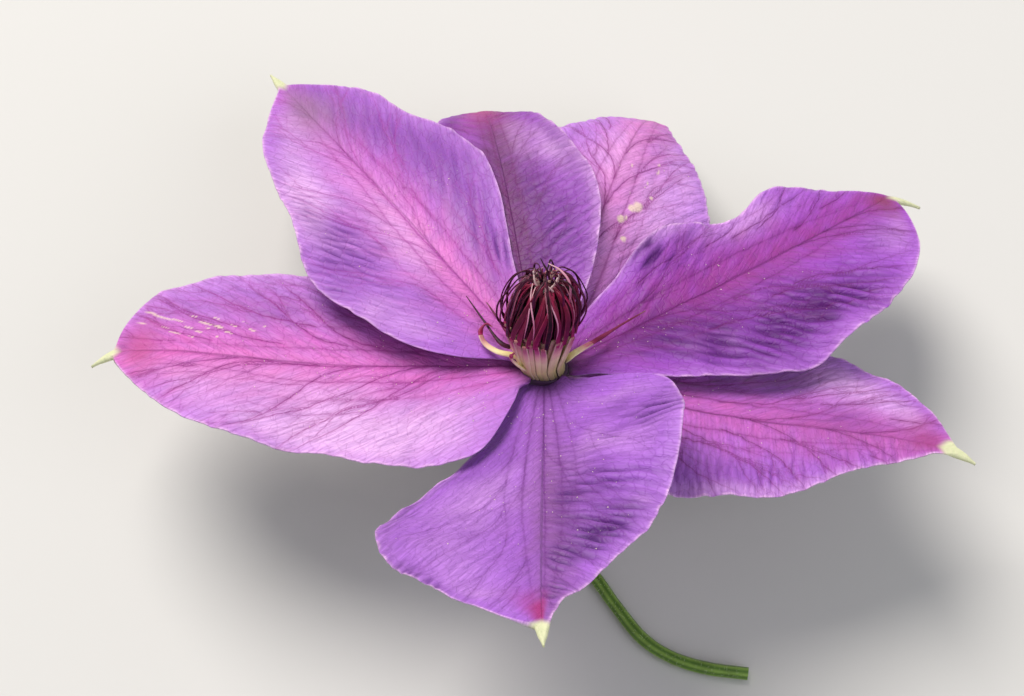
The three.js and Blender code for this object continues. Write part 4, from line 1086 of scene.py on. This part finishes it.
# Plant tissue with a waxy skin, soft and slightly wet-looking. Its colour runs along the strand through a
# ramp, falls to a dark one by the strand's tone, and turns lighter on the strand's two edges: a painted
# highlight where the rounded edges catch the light, and on the anthers partly their own paler edges.
def strandFinish(name):
    look = strandLooks[name]
    stops = look["stops"]
    edge, edgeHighlightShare = look["edge"]
    material, tree = newMaterial(name)
    where = addNode(tree, "Attribute", output=1, attribute_name="where")
    where = addNode(tree, "SeparateXYZ", {0: where}).node
    share, across, tone = where.outputs
    ramp = addNode(tree, "ValToRGB", {0: share}).node
    ramp.color_ramp.elements[0].position, ramp.color_ramp.elements[-1].position = stops[0][0], stops[-1][0]
    for place, code in stops[1:-1]:
        ramp.color_ramp.elements.new(place)
    for element, (place, code) in zip(ramp.color_ramp.elements, stops):
        element.color = linear(code)
    place = addNode(tree, "TexCoord", output=3)
    noise = addNode(tree, "TexNoise", {"Vector": place, "Scale": look["coarse"], "Detail": 3.0})
    lean = addNode(tree, "Math", {0: noise, 1: 0.7, 2: tone}, operation="MULTIPLY_ADD")
    lean = addNode(tree, "Math", {0: lean, 1: 0.3}, operation="SUBTRACT", use_clamp=True)
    dark = linear(look["dark"])
    colour = addNode(tree, "Mix", {0: lean, 6: dark, 7: ramp.outputs[0]}, output=2, data_type="RGBA")
    # painted highlight along the strand's two rounded edges
    edgeHighlight = addNode(tree, "Math", {0: across}, operation="ABSOLUTE")
    edgeHighlight = addNode(tree, "MapRange", {0: edgeHighlight, 1: 0.66, 2: 0.96, 3: 0.0, 4: edgeHighlightShare})
    edgeHighlight = addNode(tree, "Math", {0: edgeHighlight, 1: noise}, operation="MULTIPLY")
    edgeHighlight = addNode(tree, "Math", {0: edgeHighlight, 1: 1.6}, operation="MULTIPLY", use_clamp=True)
    colour = addNode(tree, "Mix", {0: edgeHighlight, 6: colour, 7: linear(edge)}, output=2, data_type="RGBA")
    bump = addNode(tree, "Bump", {"Strength": 0.5, "Distance": 0.00012, "Height": noise})
    skin = addNode(tree, "BsdfPrincipled", {
        "Base Color": colour, "Roughness": look["roughness"], "IOR": 1.42, "Specular IOR Level": 0.3,
        "Normal": bump,
    })
    addNode(tree, "OutputMaterial", {"Surface": skin})
    return material


# The boss from its filaments inwards. Each piece is rings of strands and single strands put together.
def makeBoss():
    # joins the parts, makes one piece of them and gives it a finish by name
    def bossPiece(name, parts, node, finish):
        points, quads, triangles, where = joined(parts)
        material = strandFinish(finish)
        makePiece(name, placed(points), [quads, triangles], node, material, {"where": where})

    parts = [bundle("outerFilaments", 16), bundle("innerFilaments", 14)]
    widths, depths = boss["fallenFilament"]
    for ends, pink, broad, route in fallenStamens:
        parts.append(strandOf(route, 0, ends, np.array(widths) * broad, depths, 0.25, 0.95 - 0.3 * pink))
    bossPiece("filament_straps", parts, "filaments", "filament_flesh")

    parts = [bundle("outerAnthers", 20), bundle("innerAnthers", 20)]
    # the near-black body inside the dome, painted shade in the gaps
    parts.append(turnedBody(boss["shadeCore"], 20, 32, tone=0.0))
    bossPiece("anther_dome", parts, "anthers", "anther_skin")

    parts = [loopingWires(26), bundle("crown", 18), strandOf(*boss["spike"], 0.1, 0.2)]
    bossPiece("anther_tips", parts, "anthers", "anther_tip_skin")

    parts = [bundle("seams", 16), strandOf(*boss["arch"], 0.1, 0.8)]
    bossPiece("anther_seams", parts, "anthers", "anther_seam_skin")

    widths, depths = boss["fallenAnther"]
    parts = []
    for ends, pink, broad, route in fallenStamens:
        parts.append(strandOf(route, ends, 1, widths, depths, 0.2, pink, 26))
    bossPiece("fallen_anthers", parts, "filaments", "fallen_anther_skin")

    parts = [bundle("styles", 14), turnedBody(boss["column"], 20, 24, tone=0.5)]
    bossPiece("style_tuft", parts, "pistils", "style_flesh")


makeBoss()

pollen = {
    "seed": 9, "radius": (0.07, 0.15),
    "along": (0.07, 0.6),  # the share where the first ones lie, and over how much of the length
    "aside": 0.38,  # their spread from the midrib, as a share of the half width
    "height": 0.03,  # of a grain's middle over the skin
    # how many lie on each tepal
    "grains": {"tepal_left": 90, "tepal_front": 80, "tepal_right": 45, "tepal_upper_left": 45,
               "tepal_upper_right": 40, "tepal_back_right": 30},
}


# Spilt pollen: eight-faced grains, each a little squashed, half sunk in the skin's upper side. They lie
# thickest near the boss and along the midrib.
def makePollen():
    rng = np.random.default_rng(pollen["seed"])
    corner = np.array([[1, 0, 0], [0, 1, 0], [-1, 0, 0], [0, -1, 0], [0, 0, 1], [0, 0, -1]], float)
    above = np.array([[0, 1, 4], [1, 2, 4], [2, 3, 4], [3, 0, 4]])
    below = np.array([[1, 0, 5], [2, 1, 5], [3, 2, 5], [0, 3, 5]])
    face = np.concatenate([above, below])
    nearest, far = pollen["along"]
    middles = []
    for name, count in pollen["grains"].items():
        skin = skins[name]
        row = np.searchsorted(skin["s"], nearest + far * rng.random(count) ** 1.7)
        column = np.searchsorted(skin["v"], np.clip(rng.normal(0, pollen["aside"], count), -0.9, 0.9))
        middles.append(skin["at"][row, column] + skin["normal"][row, column] * pollen["height"])
    middles = np.concatenate(middles)
    count = len(middles)
    size = rng.uniform(*pollen["radius"], (count, 1, 1)) * rng.uniform(0.6, 1.2, (count, 1, 3))
    points = middles[:, None] + corner * size
    faces = (face + 6 * np.arange(count)[:, None, None]).reshape(-1, 3)
    tone = np.repeat(rng.uniform(0.3, 1, count), 6)[:, None]
    where = np.concatenate([np.full((count * 6, 2), 0.5), tone], 1)
    makePiece("pollen_grains", placed(points.reshape(-1, 3)), [faces], "anthers",
              strandFinish("pollen_coat"), {"where": where})


makePollen()


stalk = {
    "radius": 1.15, "ribs": 6, "rib": 0.09, "rings": 190, "sides": 36, "seed": 5,
    "hairs": 1500, "hairLength": (0.35, 0.8), "hairRadius": 0.035,
    # the dark purple tinges the stalk near the flower and paints shade on the receptacle's top
    "groove": "#456a1e", "ridge": "#7f9f45", "purpleAndShade": "#3a1a3c", "cut": "#c9d29a",
    # over the surface, with the receptacle straight above the origin
    "route": [(0, -0.75, 25.85), (0, -3.75, 18.4), (-1.5, -7.4, 10), (-3.5, -11.5, 4), (-2, -16.5, 1.15),
              (3.5, -20.5, 1.15), (8.5, -25.5, 1.15), (12.5, -31.5, 1.15), (17, -37.5, 1.15),
              (22, -41, 1.15), (28, -43, 1.15), (35, -44, 1.15)],
    "originHeight": 27.7,  # of the receptacle's middle in the route's own frame
    "receptacle": [(0.3, -5.3), (1.25, -5.0), (1.9, -3.7), (3.2, -2.0), (4.05, -0.9), (4.15, 0.3),
                   (4.0, 1.2), (3.9, 1.9), (3.3, 2.1), (0.4, 2.1)],
}


# Green stalk: living skin over ribs, matt with short down, tinged purple near the flower. The same dark
# purple paints shade on the receptacle's top, under the boss. where holds the share along it, the rib's
# height and how near the flower it is; on the receptacle the last is how strong the painted shade is.
def stalkFinish():
    material, tree = newMaterial("stalk_skin")
    where = addNode(tree, "Attribute", output=1, attribute_name="where")
    where = addNode(tree, "SeparateXYZ", {0: where}).node
    place = addNode(tree, "TexCoord", output=3)
    noise = addNode(tree, "TexNoise", {"Vector": place, "Scale": 420.0, "Detail": 4.0, "Roughness": 0.6})
    groove, ridge = linear(stalk["groove"]), linear(stalk["ridge"])
    ribbed = addNode(tree, "Mix", {0: where.outputs[1], 6: groove, 7: ridge}, output=2, data_type="RGBA")
    mottled = addNode(tree, "Math", {0: noise, 1: 0.9, 2: 0.55}, operation="MULTIPLY_ADD")
    colour = addNode(tree, "VectorMath", {0: ribbed, 3: mottled}, operation="SCALE")
    # dark purple: a tinge near the flower on the stalk, painted shade on the receptacle's top
    purpleAndShade = addNode(tree, "Math", {0: where.outputs[2], 1: noise}, operation="MULTIPLY")
    purpleAndShade = addNode(tree, "Math", {0: purpleAndShade, 1: 1.7}, operation="MULTIPLY", use_clamp=True)
    purple, pith = linear(stalk["purpleAndShade"]), linear(stalk["cut"])
    colour = addNode(tree, "Mix", {0: purpleAndShade, 6: colour, 7: purple}, output=2, data_type="RGBA")
    cut = addNode(tree, "MapRange", {0: where.outputs[0], 1: 0.997, 2: 0.9985, 3: 0.0, 4: 1.0})
    colour = addNode(tree, "Mix", {0: cut, 6: colour, 7: pith}, output=2, data_type="RGBA")
    bump = addNode(tree, "Bump", {"Strength": 0.5, "Distance": 0.0001, "Height": noise})
    skin = addNode(tree, "BsdfPrincipled", {
        "Base Color": colour, "Roughness": 0.5, "IOR": 1.42, "Normal": bump,
        "Sheen Weight": 0.15, "Sheen Roughness": 0.5, "Sheen Tint": linear("#dfe8c8"),
    })
    addNode(tree, "OutputMaterial", {"Surface": skin})
    return material


# The stalk is a ribbed circle carried along its route: radius · (1 + rib · cos(ribs · angle)). The
# receptacle is turned about the flower's axis. Down stands on the skin as three-sided spikes.
def makeStalk():
    rng = np.random.default_rng(stalk["seed"])
    rings, sides = stalk["rings"], stalk["sides"]
    share = np.linspace(0, 1, rings)
    path = through(stalk["route"], share)
    path[:, 2] = np.maximum(path[:, 2], stalk["radius"])
    path = path - [0, 0, stalk["originHeight"]]
    way = np.gradient(path, axis=0)
    way /= np.linalg.norm(way, axis=1, keepdims=True)
    side = np.cross(way, [0.2, 0.3, 1.0])
    side /= np.linalg.norm(side, axis=1, keepdims=True)
    lift = np.cross(side, way)
    angle = 2 * np.pi * np.arange(sides) / sides
    ribbing = np.cos(stalk["ribs"] * angle[None, :] + 2.5 * share[:, None])
    # a little thicker near the flower, and never quite even
    swell = 1 + 0.12 * np.exp(-((share - 0.02) / 0.05) ** 2) + 0.02 * np.sin(share * 37)
    radius = stalk["radius"] * swell[:, None] * (1 - stalk["rib"] * (0.5 - 0.5 * ribbing))
    out = side[:, None] * np.cos(angle)[None, :, None] + lift[:, None] * np.sin(angle)[None, :, None]
    body = path[:, None] + out * radius[..., None]
    # the cut: a rim and a slightly sunken face, closed by a point
    faceRing = path[-1] + out[-1] * (radius[-1] * 0.8)[:, None] + way[-1] * 0.02
    points = np.concatenate([body.reshape(-1, 3), faceRing, [path[0]], [path[-1] - way[-1] * 0.15]])
    index = np.arange((rings + 1) * sides).reshape(rings + 1, sides)
    nextSide = np.roll(index, -1, 1)
    quads = np.stack([index[:-1], index[1:], nextSide[1:], nextSide[:-1]], -1).reshape(-1, 4)
    foot, tip = (rings + 1) * sides, (rings + 1) * sides + 1
    triangles = np.concatenate([np.stack([np.full(sides, foot), index[0], nextSide[0]], -1),
                                np.stack([np.full(sides, tip), nextSide[-1], index[-1]], -1)])
    rib = np.concatenate([(0.5 + 0.5 * ribbing).ravel(), np.full(sides, 0.5), [0.5, 0.5]])
    shares = np.concatenate([np.repeat(share * 0.996, sides), np.ones(sides), [0, 1]])
    near = np.exp(-(shares / 0.06) ** 2) * 0.5
    world = (points + np.array(flower["middle"])) * 0.001
    cup = turnedBody(stalk["receptacle"], 40, 48)
    lobes = 0.5 + 0.5 * np.cos(8 * np.arctan2(cup[0][:, 1], cup[0][:, 0]))
    # the receptacle's top turns dark purple: painted shade under the boss
    cupTone = np.stack([0 * lobes, lobes * 0.5, smooth((cup[0][:, 2] + 0.4) / 1.2) * 4.0], -1)
    parts = joined([(world, quads, triangles, np.stack([shares, rib, near], -1)),
                    (placed(cup[0]), cup[1], cup[2], cupTone)])
    points, quads, triangles, where = parts
    makePiece("ribbed_stalk", points, [quads, triangles], "stem", stalkFinish(), {"where": where})

    count = stalk["hairs"]
    ring, turn = rng.integers(2, rings - 2, count), rng.integers(0, sides, count)
    root, stand = body[ring, turn], out[ring, turn]
    lean = stand + rng.normal(0, 0.35, (count, 3))
    lean /= np.linalg.norm(lean, axis=1, keepdims=True)
    long = rng.uniform(*stalk["hairLength"], count)[:, None]
    tip = root + lean * long
    tip[:, 2] = np.maximum(tip[:, 2], 0.06 - stalk["originHeight"])
    a = np.cross(lean, way[ring])
    a /= np.maximum(np.linalg.norm(a, axis=1, keepdims=True), 1e-6)
    b = np.cross(lean, a)
    thick = stalk["hairRadius"]
    corners = [root - lean * 0.05 + thick * (a * math.cos(t) + b * math.sin(t)) for t in (0, 2.094, 4.189)]
    spikes = np.stack(corners + [tip], 1)
    base = np.arange(count)[:, None] * 4
    faces = np.concatenate([base + [0, 1, 3], base + [1, 2, 3], base + [2, 0, 3], base + [2, 1, 0]])
    where = np.tile([0.5, 0.0, 0.5], (count * 4, 1))
    world = (spikes.reshape(-1, 3) + np.array(flower["middle"])) * 0.001
    makePiece("stalk_hairs", world, [faces], "stem", strandFinish("stalk_down"), {"where": where})


makeStalk()

# The camera looks down on the flower from the front. Its target lies aside of the receptacle and above
# it in the view.
view = {"elevation": 62.0, "distance": 420.0, "lens": 86.3, "aside": -5.64, "above": 4.79}
down = math.radians(view["elevation"])
forward = Vector((0, math.cos(down), -math.sin(down)))
upward = Vector((0, math.sin(down), math.cos(down)))
target = Vector(flower["middle"]) + Vector((1, 0, 0)) * view["aside"] + upward * view["above"]
cameraData = bpy.data.cameras.new("camera")
cameraData.lens, cameraData.sensor_width = view["lens"], 36.0
cameraData.clip_start, cameraData.clip_end = 0.01, 20.0
camera = bpy.data.objects.new("camera", cameraData)
camera.location = (target - forward * view["distance"]) * 0.001
camera.rotation_euler = forward.to_track_quat("-Z", "Y").to_euler()
scene.collection.objects.link(camera)
scene.camera = camera

lamps = {
    # where from, how large in metres, watts, colour
    "key": ((-0.60, 0.84, 1.44), 1.2, 37.0, "#fffaf4"),
    "fill": ((1.10, -0.90, 1.10), 1.8, 11.0, "#f2f5ff"),
}
for lampName, (place, size, watts, tintCode) in lamps.items():
    lampData = bpy.data.lights.new(lampName, "AREA")
    lampData.shape, lampData.size, lampData.energy = "DISK", size, watts
    lampData.color = linear(tintCode)[:3]
    lamp = bpy.data.objects.new(lampName, lampData)
    lamp.location = place
    lamp.rotation_euler = (Vector((0, 0, 0.03)) - Vector(place)).to_track_quat("-Z", "Y").to_euler()
    scene.collection.objects.link(lamp)

room = {"sky": "#e9ebee", "skyStrength": 0.42, "floor": "#cfcecb", "roughness": 0.8, "reach": 3}
world = bpy.data.worlds.new("room")
scene.world = world
world.use_nodes = True
sky = world.node_tree.nodes["Background"]
sky.inputs[0].default_value = linear(room["sky"])
sky.inputs[1].default_value = room["skyStrength"]

reach = room["reach"]
floorMesh = bpy.data.meshes.new("floor")
floorCorners = [(-reach, -reach, 0), (reach, -reach, 0), (reach, reach, 0), (-reach, reach, 0)]
floorMesh.from_pydata(floorCorners, [], [(0, 1, 2, 3)])
floor = bpy.data.objects.new("floor", floorMesh)
scene.collection.objects.link(floor)
floorPaint = bpy.data.materials.new("matt floor paint")
floorPaint.use_nodes = True
paint = floorPaint.node_tree.nodes["Principled BSDF"]
paint.inputs["Base Color"].default_value = linear(room["floor"])
paint.inputs["Roughness"].default_value = room["roughness"]
floorMesh.materials.append(floorPaint)
floor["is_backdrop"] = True
scene.view_settings.view_transform = "Standard"

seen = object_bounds()
say(f"CAD box {[tuple(round(c * 1000, 2) for c in corner) for corner in cadBox]} mm")
say(f"visual box {[tuple(round(c * 1000, 2) for c in corner) for corner in seen]} mm")
